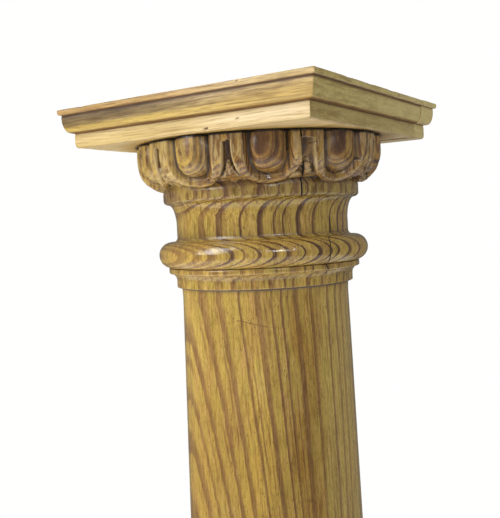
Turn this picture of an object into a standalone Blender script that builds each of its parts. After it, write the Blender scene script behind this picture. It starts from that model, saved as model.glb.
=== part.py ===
"""Turned and carved pine column with a square moulded top plate.

One log carries the base mouldings, the shaft with its slow swelling, the neck mouldings and the
egg-and-dart capital. It stands on a square plinth block, and the moulded plate on top is glued up
from a wide board and a narrow back strip. Lengths are in metres, +Z is up, and the origin is the
centre of the plinth's underside.
"""

import math

import bmesh
import bpy

# Fits between pieces
SEAT_GAP = 0.0003
GLUE_GAP = 0.0003

# Plinth block
PLINTH_HEIGHT = 0.060
PLINTH_MARGIN = 0.010
PLINTH_EDGE = 0.002

# Base mouldings, from the plinth up
BASE_TORUS_HEIGHT = 0.034
BASE_TORUS_OVERHANG = 0.0175
BASE_FILLET_HEIGHT = 0.009
BASE_FILLET_PROJECTION = 0.0055
BASE_COVE_HEIGHT = 0.007

# Shaft
SHAFT_LENGTH = 0.9307
SHAFT_TOP_RADIUS = 0.0750
SHAFT_SWELLING = 0.012
NECKING_FLARE = 0.0005
NECKING_HEIGHT = 0.010

# Neck mouldings, from the shaft up
LOWER_FILLET_HEIGHT = 0.0065
LOWER_FILLET_PROJECTION = 0.0047
LOWER_FILLET_EASING = 0.0008
SMALL_COVE_HEIGHT = 0.0065
UPPER_FILLET_HEIGHT = 0.0048
UPPER_FILLET_PROJECTION = 0.0112
ASTRAGAL_HEIGHT = 0.0231
ASTRAGAL_PROJECTION = 0.0194
ASTRAGAL_SHOULDER = 0.0045
ASTRAGAL_SHOULDER_HEIGHT = 0.0026
NECK_PROJECTION = 0.0024
NECK_STRAIGHT = 0.0115
NECK_COVE_HEIGHT = 0.0190
NECK_COVE_PROJECTION = 0.0065
BAND_EDGE_HEIGHT = 0.0033
BAND_HEIGHT = 0.0062
BAND_PROJECTION = 0.0130

# Egg-and-dart capital
ECHINUS_HEIGHT = 0.0420
ECHINUS_PROJECTION = 0.0345
ECHINUS_FULLNESS = 4.3
EGG_COUNT = 10
EGG_HALF_WIDTH = 0.0170
EGG_RISE = 0.0082
EGG_CROWN_SHARE = 0.68
GROOVE_WIDTH = 0.0052
GROOVE_DEPTH = 0.0088
SLOT_HALF_WIDTH = 0.0035
SLOT_DEPTH = 0.0066
CARVED_EDGE = 0.0012
DART_HALF_WIDTH = 0.0100
DART_RISE = 0.0052
OUTLINE_FULLNESS = 2.3
# Heights along the curved face of the capital, as shares of its length
EGG_BOTTOM = 0.20
EGG_SHOULDER = 0.75
RIM_INNER_BOTTOM = 0.155
RIM_BOTTOM = 0.03
RIM_SHOULDER = 0.81
SLOT_TOP = 0.865
DART_TIP = 0.03
DART_WIDEST = 0.17
DART_TOP = 0.58

# Square plate, from its underside up
PLATE_OVERHANG = 0.0051
FASCIA_HEIGHT = 0.0122
FASCIA_EASING = 0.0022
OVOLO_STEP = 0.0026
OVOLO_HEIGHT = 0.0147
OVOLO_PROJECTION = 0.0048
QUIRK_HEIGHT = 0.0008
TOP_FILLET_HEIGHT = 0.0055
TOP_FILLET_PROJECTION = 0.0024
TOP_EDGE_EASING = 0.0009
BACK_STRIP_WIDTH = 0.0345
BACK_STRIP_PROUD = 0.0007

# Facets
TURNED_SEGMENTS = 50
SHAFT_RINGS = 6
TORUS_STEPS = 6
ASTRAGAL_STEPS = 8
COVE_STEPS = 5
SMALL_STEPS = 3
CARVED_ROWS = 12
ROW_CROWDING = 1.13
SMALLEST_FACET = 0.0011
PATH_SAMPLES = 200
BEAD_QUIRK_ANGLE = math.radians(15)

# Radii and heights that follow from the sizes above
SHAFT_FOOT_RADIUS = SHAFT_TOP_RADIUS + SHAFT_SWELLING
BASE_FILLET_RADIUS = SHAFT_FOOT_RADIUS + BASE_FILLET_PROJECTION
BASE_TORUS_RADIUS = BASE_FILLET_RADIUS + BASE_TORUS_OVERHANG
PLINTH_HALF_WIDTH = BASE_TORUS_RADIUS + PLINTH_MARGIN
LOWER_FILLET_RADIUS = SHAFT_TOP_RADIUS + LOWER_FILLET_PROJECTION
UPPER_FILLET_RADIUS = SHAFT_TOP_RADIUS + UPPER_FILLET_PROJECTION
ASTRAGAL_RADIUS = SHAFT_TOP_RADIUS + ASTRAGAL_PROJECTION
NECK_RADIUS = SHAFT_TOP_RADIUS + NECK_PROJECTION
BAND_RADIUS = SHAFT_TOP_RADIUS + BAND_PROJECTION
ECHINUS_RADIUS = SHAFT_TOP_RADIUS + ECHINUS_PROJECTION
FASCIA_HALF_WIDTH = ECHINUS_RADIUS + PLATE_OVERHANG
COLUMN_FOOT_Z = PLINTH_HEIGHT + SEAT_GAP


class TurnedProfile:
    """Points of a lathe profile, radius against height, added from the foot upward."""

    def __init__(self, height):
        self.height = height
        self.points = []

    def at(self, radius):
        """Adds a point at the present height."""
        self.points.append((radius, self.height))

    def rise(self, height, radius):
        """Climbs by a height and adds a point there."""
        self.height += height
        self.points.append((radius, self.height))

    def cove(self, height, start, end, steps, hollow_low):
        """Adds a quarter-ellipse hollow from one radius to another."""
        base = self.height
        for step in range(1, steps + 1):
            angle = step / steps * math.pi / 2
            if hollow_low:
                radius = start + (end - start) * (1 - math.cos(angle))
                climb = height * math.sin(angle)
            else:
                radius = start + (end - start) * math.sin(angle)
                climb = height * (1 - math.cos(angle))
            self.points.append((radius, base + climb))
        self.height = base + height

    def bead(self, height, radius, steps, quirk_angle=0.0):
        """Adds a half-round moulding whose widest radius is given, cut short below by an angle."""
        half = height / 2
        centre = self.height + half
        start = quirk_angle - math.pi / 2
        for step in range(steps + 1):
            angle = start + (math.pi / 2 - start) * step / steps
            self.points.append((radius - half + half * math.cos(angle), centre + half * math.sin(angle)))
        self.height += height


def shaft_radius(depth):
    """Radius of the shaft at a depth below its top, with its slow swelling."""
    return SHAFT_TOP_RADIUS + SHAFT_SWELLING * math.sin(math.pi / 2 * depth / SHAFT_LENGTH)


def base_profile(profile):
    profile.bead(BASE_TORUS_HEIGHT, BASE_TORUS_RADIUS, TORUS_STEPS)
    profile.at(BASE_FILLET_RADIUS)
    profile.rise(BASE_FILLET_HEIGHT, BASE_FILLET_RADIUS)
    profile.cove(BASE_COVE_HEIGHT, BASE_FILLET_RADIUS, SHAFT_FOOT_RADIUS, SMALL_STEPS, False)


def shaft_profile(profile):
    foot = profile.height
    swelling_length = SHAFT_LENGTH - NECKING_HEIGHT
    for ring in range(1, SHAFT_RINGS + 1):
        climb = swelling_length * ring / SHAFT_RINGS
        profile.points.append((shaft_radius(SHAFT_LENGTH - climb), foot + climb))
    profile.height = foot + swelling_length
    profile.rise(NECKING_HEIGHT, SHAFT_TOP_RADIUS + NECKING_FLARE)


def neck_profile(profile):
    profile.at(LOWER_FILLET_RADIUS - LOWER_FILLET_EASING)
    profile.rise(LOWER_FILLET_EASING, LOWER_FILLET_RADIUS)
    profile.rise(LOWER_FILLET_HEIGHT - LOWER_FILLET_EASING, LOWER_FILLET_RADIUS)
    profile.cove(SMALL_COVE_HEIGHT, LOWER_FILLET_RADIUS, UPPER_FILLET_RADIUS, SMALL_STEPS, True)
    profile.rise(UPPER_FILLET_HEIGHT, UPPER_FILLET_RADIUS)
    profile.bead(ASTRAGAL_HEIGHT, ASTRAGAL_RADIUS, ASTRAGAL_STEPS, BEAD_QUIRK_ANGLE)
    profile.at(NECK_RADIUS + ASTRAGAL_SHOULDER / 2)
    profile.rise(ASTRAGAL_SHOULDER_HEIGHT, NECK_RADIUS)
    profile.rise(NECK_STRAIGHT, NECK_RADIUS)
    profile.cove(NECK_COVE_HEIGHT, NECK_RADIUS, NECK_RADIUS + NECK_COVE_PROJECTION, COVE_STEPS, True)


def band_profile(profile):
    cove_end = NECK_RADIUS + NECK_COVE_PROJECTION
    rounding = BAND_RADIUS - cove_end
    for step in range(1, SMALL_STEPS + 1):
        angle = step / SMALL_STEPS * math.pi / 2
        profile.points.append((cove_end + rounding * math.sin(angle),
                               profile.height + BAND_EDGE_HEIGHT * (1 - math.cos(angle))))
    profile.height += BAND_EDGE_HEIGHT
    profile.rise(BAND_HEIGHT, BAND_RADIUS)


class EchinusFace:
    """The swelling face that the eggs are carved in, measured along its curve."""

    def __init__(self, foot):
        self.path = []
        for sample in range(PATH_SAMPLES + 1):
            share = sample / PATH_SAMPLES
            fullness = 1 - (1 - share) ** ECHINUS_FULLNESS
            radius = BAND_RADIUS + (ECHINUS_RADIUS - BAND_RADIUS) * fullness
            self.path.append((radius, foot + ECHINUS_HEIGHT * share))
        self.distance = [0.0]
        for before, after in zip(self.path, self.path[1:]):
            self.distance.append(self.distance[-1] + math.dist(before, after))
        self.length = self.distance[-1]

    def place(self, along):
        """Radius, height and outward direction of the face at a distance along it."""
        target = min(max(along, 0.0), self.length)
        index = 0
        while index < PATH_SAMPLES - 1 and self.distance[index + 1] < target:
            index += 1
        low, high = self.path[index], self.path[index + 1]
        span = self.distance[index + 1] - self.distance[index]
        share = (target - self.distance[index]) / span
        run = (high[0] - low[0]) / span
        rise = (high[1] - low[1]) / span
        return low[0] + run * share * span, low[1] + rise * share * span, rise, -run


def smooth(low, high, value):
    share = min(max((value - low) / (high - low), 0.0), 1.0)
    return share * share * (3 - 2 * share)


def outline_width(half_width, along, shoulder, bottom):
    """Half width of a U-shaped outline at a height, straight above its shoulder."""
    drop = min(max(shoulder - along, 0.0) / (shoulder - bottom), 1.0)
    return half_width * (1 - drop ** OUTLINE_FULLNESS) ** (1 / OUTLINE_FULLNESS)


def outline_reach(across, half_width, along, shoulder, bottom):
    """Place relative to a U-shaped outline: 0 on its middle line, 1 on the outline."""
    drop = max(shoulder - along, 0.0) / (shoulder - bottom)
    share = abs(across) / half_width
    return (share ** OUTLINE_FULLNESS + drop ** OUTLINE_FULLNESS) ** (1 / OUTLINE_FULLNESS)


def dart_depth(from_middle, along, length):
    """How far the ground between two rims, with the dart on it, lies below the face."""
    tip = DART_TIP * length
    widest = DART_WIDEST * length
    top = DART_TOP * length
    if along < widest:
        half_width = DART_HALF_WIDTH * max((along - tip) / (widest - tip), 0.0)
    else:
        half_width = DART_HALF_WIDTH * max((top - along) / (top - widest), 0.0)
    ridge = 0.0
    if half_width > 0:
        ridge = DART_RISE * max(1 - from_middle / half_width, 0.0)
    return SLOT_DEPTH - ridge * smooth(tip, widest, along)


def carved_depth(across, half_pitch, along, length):
    """Depth of the carving below the face, across being measured from the egg's middle."""
    rim_inner = EGG_HALF_WIDTH + GROOVE_WIDTH
    rim_outer = half_pitch - SLOT_HALF_WIDTH
    egg = outline_reach(across, EGG_HALF_WIDTH, along, EGG_SHOULDER * length, EGG_BOTTOM * length)
    if egg < 1:
        return EGG_RISE * (1 - (1 - egg ** OUTLINE_FULLNESS) ** (1 / OUTLINE_FULLNESS))
    inner = outline_reach(across, rim_inner, along, EGG_SHOULDER * length, RIM_INNER_BOTTOM * length)
    if inner < 1:
        return GROOVE_DEPTH * smooth(0.0, CARVED_EDGE, (1 - inner) * rim_inner)
    outer = outline_reach(across, rim_outer, along, RIM_SHOULDER * length, RIM_BOTTOM * length)
    if outer < 1 or along > SLOT_TOP * length:
        return 0.0
    ground = dart_depth(half_pitch - across, along, length)
    foot = smooth(0.0, RIM_BOTTOM * length, along)
    return ground * smooth(0.0, CARVED_EDGE, (outer - 1) * rim_outer) * foot


def egg_angle(index):
    """Angle of an egg's middle, from the front face (-Y) towards +X."""
    return index * 2 * math.pi / EGG_COUNT


def ring_point(radius, angle, height):
    """A point on the column, its angle measured from the front (-Y) towards +X."""
    return (radius * math.sin(angle), -radius * math.cos(angle), height)


def turned_ring(radius, height):
    return [ring_point(radius, segment * 2 * math.pi / TURNED_SEGMENTS, height)
            for segment in range(TURNED_SEGMENTS)]


def carved_places(half_pitch, along, length):
    """Distances from an egg's middle of the carving's edges, out to the dart's middle."""
    egg = outline_width(EGG_HALF_WIDTH, along, EGG_SHOULDER * length, EGG_BOTTOM * length)
    rim_inner = outline_width(EGG_HALF_WIDTH + GROOVE_WIDTH, along, EGG_SHOULDER * length,
                              RIM_INNER_BOTTOM * length)
    rim_outer = outline_width(half_pitch - SLOT_HALF_WIDTH, along, RIM_SHOULDER * length, RIM_BOTTOM * length)
    places = [0.0, egg * EGG_CROWN_SHARE, egg, rim_inner - CARVED_EDGE, rim_inner]
    places += [rim_outer, rim_outer + CARVED_EDGE, half_pitch]
    for index in range(1, len(places)):
        places[index] = max(places[index], places[index - 1] + SMALLEST_FACET)
    places[-1] = half_pitch
    for index in range(len(places) - 2, 0, -1):
        places[index] = min(places[index], places[index + 1] - SMALLEST_FACET)
    return places


def carved_ring(face, along):
    """One ring of the carved face, sunk below it where the carving is."""
    radius, height, out_radius, out_height = face.place(along)
    half_pitch = radius * math.pi / EGG_COUNT
    places = carved_places(half_pitch, along, face.length)
    offsets = [-place for place in places[:0:-1]] + places[:-1]
    points = []
    for egg in range(EGG_COUNT):
        for across in offsets:
            depth = carved_depth(abs(across), half_pitch, along, face.length)
            angle = egg_angle(egg) + across / radius
            points.append(ring_point(radius - depth * out_radius, angle, height - depth * out_height))
    return points


def carved_rows(length):
    """Heights of the carved rings along the face, closer near its foot, with the slot's top edge."""
    rows = [SLOT_TOP * length * (row / CARVED_ROWS) ** ROW_CROWDING for row in range(1, CARVED_ROWS + 1)]
    return rows + [SLOT_TOP * length + CARVED_EDGE, length]


def turn_of(vertex):
    """Angle of a vertex round the column, from the front, in turns."""
    return math.atan2(vertex.co.x, -vertex.co.y) / (2 * math.pi)


def share_of(ring, index):
    """How far round the ring the middle of a step lies, in turns from the ring's start."""
    here = (turn_of(ring[index % len(ring)]) - turn_of(ring[0])) % 1.0
    following = (turn_of(ring[(index + 1) % len(ring)]) - turn_of(ring[0])) % 1.0
    if following < here:
        following += 1.0
    return (here + following) / 2


def join_rings(mesh, lower, upper):
    """Faces between two rings: quads where their counts match, otherwise triangles by angle."""
    if len(lower) == len(upper):
        for index in range(len(lower)):
            following = (index + 1) % len(lower)
            mesh.faces.new([lower[index], lower[following], upper[following], upper[index]])
        return
    start = min(range(len(upper)), key=lambda index: abs(turn_of(upper[index]) - turn_of(lower[0])))
    upper = upper[start:] + upper[:start]
    low = 0
    high = 0
    while low < len(lower) or high < len(upper):
        corner = lower[low % len(lower)]
        above = upper[high % len(upper)]
        if high == len(upper) or (low < len(lower) and (low + 0.5) / len(lower) < share_of(upper, high)):
            mesh.faces.new([corner, lower[(low + 1) % len(lower)], above])
            low += 1
        else:
            mesh.faces.new([corner, upper[(high + 1) % len(upper)], above])
            high += 1


def loft(rings):
    """A closed mesh through a stack of rings, with a flat face at each end."""
    mesh = bmesh.new()
    loops = [[mesh.verts.new(point) for point in ring] for ring in rings]
    for lower, upper in zip(loops, loops[1:]):
        join_rings(mesh, lower, upper)
    mesh.faces.new(loops[0][::-1])
    mesh.faces.new(loops[-1])
    bmesh.ops.recalc_face_normals(mesh, faces=mesh.faces)
    return mesh


def wood(name, colour, roughness):
    material = bpy.data.materials.new(name)
    material.use_nodes = True
    shader = material.node_tree.nodes["Principled BSDF"]
    shader.inputs["Base Color"].default_value = (*colour, 1.0)
    shader.inputs["Roughness"].default_value = roughness
    shader.inputs["Metallic"].default_value = 0.0
    return material


def add_object(name, mesh, material, smooth_angle=None):
    data = bpy.data.meshes.new(name)
    mesh.to_mesh(data)
    mesh.free()
    data.materials.append(material)
    if smooth_angle is not None:
        data.shade_smooth()
        data.set_sharp_from_angle(angle=smooth_angle)
    piece = bpy.data.objects.new(name, data)
    bpy.context.scene.collection.objects.link(piece)
    return piece


def square_ring(low_x, high_x, low_y, high_y, height):
    return [(low_x, low_y, height), (high_x, low_y, height), (high_x, high_y, height), (low_x, high_y, height)]


def plinth():
    block = bmesh.new()
    bmesh.ops.create_cube(block, size=1.0)
    width = 2 * PLINTH_HALF_WIDTH
    bmesh.ops.scale(block, vec=(width, width, PLINTH_HEIGHT), verts=block.verts)
    bmesh.ops.translate(block, vec=(0.0, 0.0, PLINTH_HEIGHT / 2), verts=block.verts)
    piece = add_object("plinth", block, wood("plinth_pine", (0.46, 0.32, 0.15), 0.5))
    easing = piece.modifiers.new("eased edges", "BEVEL")
    easing.width = PLINTH_EDGE
    easing.segments = 2
    easing.limit_method = "ANGLE"
    return piece


def column():
    """Base, shaft, neck and carved capital, all from one log."""
    profile = TurnedProfile(COLUMN_FOOT_Z)
    base_profile(profile)
    shaft_profile(profile)
    neck_profile(profile)
    band_profile(profile)
    rings = [turned_ring(radius, height) for radius, height in profile.points]
    face = EchinusFace(profile.height)
    rings += [carved_ring(face, along) for along in carved_rows(face.length)]
    piece = add_object("column", loft(rings), wood("column_pine", (0.42, 0.28, 0.12), 0.42), math.radians(40))
    return piece, face.path[-1][1]


def plate_profile(underside):
    """Half widths and heights of the plate's edge, from its underside up."""
    fascia = FASCIA_HALF_WIDTH
    points = [(fascia - FASCIA_EASING, underside)]
    points.append((fascia - FASCIA_EASING / 4, underside + FASCIA_EASING * 3 / 4))
    points.append((fascia, underside + FASCIA_EASING * 3 / 2))
    points.append((fascia, underside + FASCIA_HEIGHT))
    ovolo_foot = fascia + OVOLO_STEP
    for step in range(COVE_STEPS + 1):
        angle = step / COVE_STEPS * math.pi / 2
        points.append((ovolo_foot + OVOLO_PROJECTION * math.sin(angle),
                       underside + FASCIA_HEIGHT + QUIRK_HEIGHT + OVOLO_HEIGHT * (1 - math.cos(angle))))
    fillet = ovolo_foot + OVOLO_PROJECTION + TOP_FILLET_PROJECTION
    top = points[-1][1] + TOP_FILLET_HEIGHT
    points.append((fillet - TOP_EDGE_EASING, top - TOP_FILLET_HEIGHT))
    points.append((fillet, top - TOP_FILLET_HEIGHT + TOP_EDGE_EASING))
    points.append((fillet, top - TOP_EDGE_EASING))
    points.append((fillet - TOP_EDGE_EASING, top))
    return points


def top_plate(underside):
    """The plate's wide board and its narrow back strip, glued edge to edge."""
    profile = plate_profile(underside)
    widest = max(half_width for half_width, height in profile)
    glue_line = widest - BACK_STRIP_WIDTH
    board = []
    strip = []
    for half_width, height in profile:
        strip_end = half_width + BACK_STRIP_PROUD
        board.append(square_ring(-half_width, half_width, -half_width, glue_line - GLUE_GAP / 2, height))
        strip.append(square_ring(-strip_end, strip_end, glue_line + GLUE_GAP / 2, half_width, height))
    pine = wood("plate_pine", (0.62, 0.48, 0.27), 0.5)
    add_object("top_plate_board", loft(board), pine)
    add_object("top_plate_back_strip", loft(strip), wood("strip_pine", (0.55, 0.43, 0.24), 0.5))


def main():
    for old in list(bpy.data.objects):
        bpy.data.objects.remove(old, do_unlink=True)
    plinth()
    top = column()[1]
    top_plate(top + SEAT_GAP)


main()
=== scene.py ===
"""Looks of a turned and carved pine column: its carving, cracks and wear, and its waxed wood.

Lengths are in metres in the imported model's frame: +Z up, -Y is the plate's long-grain face and +X its
end-grain face. Angles round the column are measured from -Y towards +X.
"""

import math

import bpy
import numpy as np
from mathutils import Matrix, Vector

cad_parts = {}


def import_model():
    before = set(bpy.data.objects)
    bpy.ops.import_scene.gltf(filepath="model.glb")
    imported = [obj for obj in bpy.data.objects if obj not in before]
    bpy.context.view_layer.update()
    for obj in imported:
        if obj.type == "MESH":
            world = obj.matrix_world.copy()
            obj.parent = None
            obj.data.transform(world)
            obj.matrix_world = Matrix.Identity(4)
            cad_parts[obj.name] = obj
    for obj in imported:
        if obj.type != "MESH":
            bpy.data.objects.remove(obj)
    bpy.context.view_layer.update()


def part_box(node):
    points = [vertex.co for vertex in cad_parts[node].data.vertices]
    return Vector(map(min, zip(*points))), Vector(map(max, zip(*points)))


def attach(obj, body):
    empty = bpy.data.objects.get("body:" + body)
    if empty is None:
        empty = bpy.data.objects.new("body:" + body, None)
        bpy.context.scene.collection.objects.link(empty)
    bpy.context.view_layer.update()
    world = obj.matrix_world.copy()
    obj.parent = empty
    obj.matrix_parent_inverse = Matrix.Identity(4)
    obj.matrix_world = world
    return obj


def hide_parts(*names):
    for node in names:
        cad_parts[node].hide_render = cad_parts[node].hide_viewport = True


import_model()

# Turned profile, the same sizes as the solid's
SHAFT_TOP_RADIUS = 0.0750
SHAFT_SWELLING = 0.012
SHAFT_LENGTH = 0.9307
NECKING_FLARE = 0.0005
NECKING_HEIGHT = 0.010
NECKING_LEAD = 0.0085
BASE_TORUS_HEIGHT = 0.034
BASE_TORUS_OVERHANG = 0.0175
BASE_FILLET_HEIGHT = 0.009
BASE_FILLET_PROJECTION = 0.0055
BASE_COVE_HEIGHT = 0.007
LOWER_FILLET_HEIGHT = 0.0065
LOWER_FILLET_PROJECTION = 0.0047
SMALL_COVE_HEIGHT = 0.0065
UPPER_FILLET_HEIGHT = 0.0048
UPPER_FILLET_PROJECTION = 0.0112
ASTRAGAL_HEIGHT = 0.0231
ASTRAGAL_PROJECTION = 0.0194
ASTRAGAL_SHOULDER = 0.0022
ASTRAGAL_SHOULDER_HEIGHT = 0.0026
NECK_PROJECTION = 0.0024
NECK_STRAIGHT = 0.0115
NECK_COVE_HEIGHT = 0.0190
NECK_COVE_PROJECTION = 0.0065
BAND_EDGE_HEIGHT = 0.0033
BAND_HEIGHT = 0.0062
BAND_PROJECTION = 0.0130
ECHINUS_HEIGHT = 0.0420
ECHINUS_PROJECTION = 0.0345
ECHINUS_FULLNESS = 4.3

# Egg-and-dart carving
EGG_COUNT = 10
EGG_HALF_WIDTH = 0.0170
EGG_RISE = 0.0082
GROOVE_WIDTH = 0.0052
GROOVE_DEPTH = 0.0090
SLOT_HALF_WIDTH = 0.0035
SLOT_DEPTH = 0.0066
CARVED_EDGE = 0.0008
RIM_ROUNDING = 0.0005
FOOT_ROUNDING = 0.6
FOOT_ROLL = 0.0030
DART_HALF_WIDTH = 0.0116
DART_EDGE_RISE = 0.0030
DART_RISE = 0.0062
OUTLINE_FULLNESS = 2.3
EGG_BOTTOM = 0.195
EGG_SHOULDER = 0.74
RIM_INNER_BOTTOM = 0.155
RIM_BOTTOM = 0.025
RIM_SHOULDER = 0.80
SLOT_TOP = 0.865
DART_TIP = 0.02
DART_NOTCH = 0.10
DART_SIDE_LOW = 0.06
DART_SIDE_TOP = 0.19
DART_TOP = 0.58
DART_VALLEY = 0.0016
DART_VALLEY_WIDTH = 0.16
DART_FAN = 0.45
DART_TAPER = 1.6
EGG_FULLNESS = 2.1
LEAST_EGG_SHARE = 0.5
GROOVE_SLOPE = 0.84
GROOVE_FLOOR = 0.16
OUTER_EDGE_SHARE = 0.8
RIM_HOLLOW = 0.0004
RIM_HOLLOW_REACH = 0.003
# How much the eggs differ, as shares or metres, since no two were carved alike: most, seed
HAND = {"egg_width": (0.035, 3), "egg_middle": (0.0009, 5), "egg_foot": (0.012, 7),
        "groove_foot": (0.012, 9), "rim_foot": (0.015, 11), "slot_top": (0.02, 15),
        "groove_width": (0.1, 17)}

# Painted shade with dirt, darkest in the deepest carving
SLOT_SHADE = 0.50
GROOVE_SHADE = 0.85
EGG_SHADE = 0.50
DART_UNSHADED = 0.7

# Where the carver set the ten slots: degrees away from even spacing, width and depth against the usual
SLOTS = [(0.5, 0.92, 1.0), (-1.5, 1.25, 0.5), (0.0, 0.60, 1.0), (0.8, 1.00, 0.9), (-0.7, 1.10, 1.0),
         (0.5, 0.85, 1.0), (-0.4, 1.05, 0.8), (0.9, 0.95, 1.0), (-0.8, 1.00, 0.9), (0.1, 0.85, 1.0)]
SLOT_SHIFTS, SLOT_WIDTHS, SLOT_DEPTHS = np.array(SLOTS).T
# Broken stretches of carving: degrees round the column, half reach in degrees, height, half height, depth
BROKEN = [(97.0, 17.0, 1.1330, 0.013, 0.0034), (47.5, 5.0, 1.1390, 0.011, 0.0022),
          (124.0, 9.0, 1.1300, 0.009, 0.0026), (-21.0, 6.0, 1.1290, 0.007, 0.0018),
          (211.0, 8.0, 1.1310, 0.008, 0.0022)]
# How broken wood splinters: share, contrast, size of the splinters, seed
SPLINTERS = [(0.65, 1.3, (0.0042, 0.0042, 0.0080), 91), (0.35, 1.2, (0.0019, 0.0019, 0.0060), 93)]
# Knife cuts: first and last degrees round the column and height, half width, depth
CUTS = [(77.4, 1.1388, 82.4, 1.1436, 0.0009, 0.0028), (52.8, 1.1555, 55.6, 1.1560, 0.0006, 0.0007)]

# Unevenness of the surfaces: height, size of the waves, seed
ACROSS_WAVES = [(0.0005, 0.011, 21)]
ALONG_WAVES = [(0.0005, 0.009, 23)]
FACE_WAVES = [(0.00022, 0.007, 31), (0.00012, 0.0028, 33)]
NECK_WAVE_SHARE = 0.35
SHAFT_WAVES = [(0.00016, (0.03, 0.03, 0.11), 41)]
SAWN_GRAIN_WAVE = 0.00012
SAWN_WAVE = 0.00025
SAWN_WAVE_SIZE = 0.035

# Mesh spacing on the column
EGG_STEPS = 8
GROOVE_STEPS = 4
RIM_STEPS = 5
SLOT_STEPS = 5
CARVED_ROWS = 92
NECK_SPACING = 0.0013
NECK_ROUNDING = 0.0005
SHAFT_SEGMENTS = 130
SHAFT_ROWS = 34
BASE_SPACING = 0.0022
CURVE_STEPS = 40
FACE_SAMPLES = 2000
LEAST_STEP = 1e-7
KERNEL_REACH = 12
CRACK_PULL = math.radians(16)
CRACK_FADE = 0.014
CRACK_STEP = 0.6

# Hairlines, a scratch and rows of pores: first and last (degrees, height), half width, strength, dashed
COLUMN_MARKS = [
    ((76.2, 1.0400), (75.6, 0.9930), 0.00045, 0.75, False),
    ((75.6, 0.9935), (74.6, 0.9400), 0.00040, 0.60, False),
    ((12.1, 1.0167), (33.0, 1.0098), 0.00060, 0.80, False),
    ((33.0, 1.0098), (45.0, 1.0080), 0.00045, 0.40, False),
    ((1.5, 1.1038), (10.2, 1.1040), 0.00065, 0.95, True),
    ((15.1, 1.1039), (34.5, 1.1003), 0.00060, 0.85, True),
]

# Square plate and plinth, the same sizes as the solids'
FASCIA_HEIGHT = 0.0122
FASCIA_EASING = 0.0018
OVOLO_STEP = 0.0026
OVOLO_HEIGHT = 0.0147
OVOLO_PROJECTION = 0.0048
QUIRK_HEIGHT = 0.0008
TOP_FILLET_PROJECTION = 0.0024
PLATE_SPACING = 0.0011
PLATE_ROUNDING = 0.00035
EDGE_STANDING = 0.00025
CAP_SHARES = (0.995, 0.96, 0.85, 0.65, 0.45, 0.25, 0.10)
# Knocks along the arrises: share of the piece's wear, size of the knocks, step of the seed
KNOCKS = [(1.0, 0.014, 2), (0.5, 0.005, 3), (0.8, 0.0045, 4)]
# Square pieces: mesh points along each side, corner radius, size of the grain's waves, wear, seed
SQUARES = {
    "moulded_board": ((150, 130, 30, 110), 0.0006, (0.04, 0.0022, 0.0022), 0.0018, 61),
    "back_strip": ((24, 20, 112, 20), 0.0005, (0.04, 0.0022, 0.0022), 0.0009, 71),
    "plinth_block": ((70, 70, 70, 70), 0.0014, (0.05, 0.004, 0.004), 0.0016, 81),
}

# Knocks in the board: place, reach along X, Y and Z, depth, and how dark the stain is
BOARD_DENTS = [
    (0.0243, -0.1146, 1.1690, (0.0030, 0.004, 0.0014), 0.0016, 1.0),
    (0.0601, -0.1244, 1.1984, (0.0016, 0.003, 0.0009), 0.0008, 0.9),
    (0.0534, -0.1146, 1.1737, (0.0022, 0.003, 0.0005), 0.0004, 0.7),
    (-0.0150, -0.1170, 1.1790, (0.0060, 0.004, 0.0004), 0.0003, 0.5),
    (0.1190, -0.0497, 1.1946, (0.003, 0.0016, 0.0006), 0.0005, 0.0),
    (0.1190, -0.0056, 1.1943, (0.003, 0.0022, 0.0006), 0.0005, 0.0),
]

# Wood: the pith's place at the shaft's top, its lean and its bend, measured from the shaft's stripes
PITH_X = (0.0218, -0.0228, 0.0576)
PITH_Y = (0.0261, -0.0131, 0.0248)
PITH_STRAIGHT_BELOW = -0.25
PITH_BEND_EASE = 0.05
PITH_SWAY = 0.0022
SUNNED_TURN = math.radians(31.65)
NECK_CONTRAST = 1.50
EGG_CONTRAST = 1.35
# Strength of the stripes and of the blotches by height on the neck: fillets, torus and neck, cove, band
STRIPES_BY_HEIGHT = [(0.0, 0.67), (0.03, 0.60), (0.19, 0.60), (0.24, 1.0), (0.88, 1.0),
                     (0.94, 0.62), (1.0, 0.67)]
BLOTCHES_BY_HEIGHT = [(0.0, 0.25), (0.02, 0.75), (0.20, 0.75), (0.26, 0.35), (0.50, 0.45),
                      (0.80, 0.60), (0.90, 1.0)]
# Latewood rings on the shaft: distance from the pith, half width, darkness
SHAFT_RINGS = [
    (0.0545, 0.0004, 0.50), (0.0592, 0.0005, 0.60), (0.0636, 0.0006, 0.65), (0.0686, 0.0003, 0.85),
    (0.0766, 0.0005, 0.62), (0.0825, 0.0007, 0.75), (0.0876, 0.0002, 0.90), (0.0904, 0.0002, 0.95),
    (0.0943, 0.0006, 0.75), (0.0992, 0.0002, 0.85), (0.1038, 0.0005, 0.68), (0.1074, 0.0004, 0.70),
    (0.1108, 0.0003, 0.80), (0.1138, 0.0002, 0.70), (0.1164, 0.0004, 0.80),
]
RINGS_PER_RAMP = 7
RING_MARGIN = 0.002
RING_FRAY = 0.0008
RING_HALF_WIDTH = 0.0006
INNER_RINGS = 11
INNER_RING_DARKNESS = 0.55
OUTER_RINGS = 23
OUTER_RING_DARKNESS = 0.75
FINE_RING_STEP = 0.0018
FINE_RING_SHARE = 0.40
CARVED_RING_SHARE = 0.55
CARVED_FRAY = 0.4
CARVED_BLOTCH = 0.45
CARVED_DEPTH = 0.75
CARVED_DULLNESS = 0.14
LATE_SOFTNESS = 0.0004
INNER_RING_STEP = 0.0048
OUTER_RING_STEP = 0.0027
OUTER_RING_START = 0.1201

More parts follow.
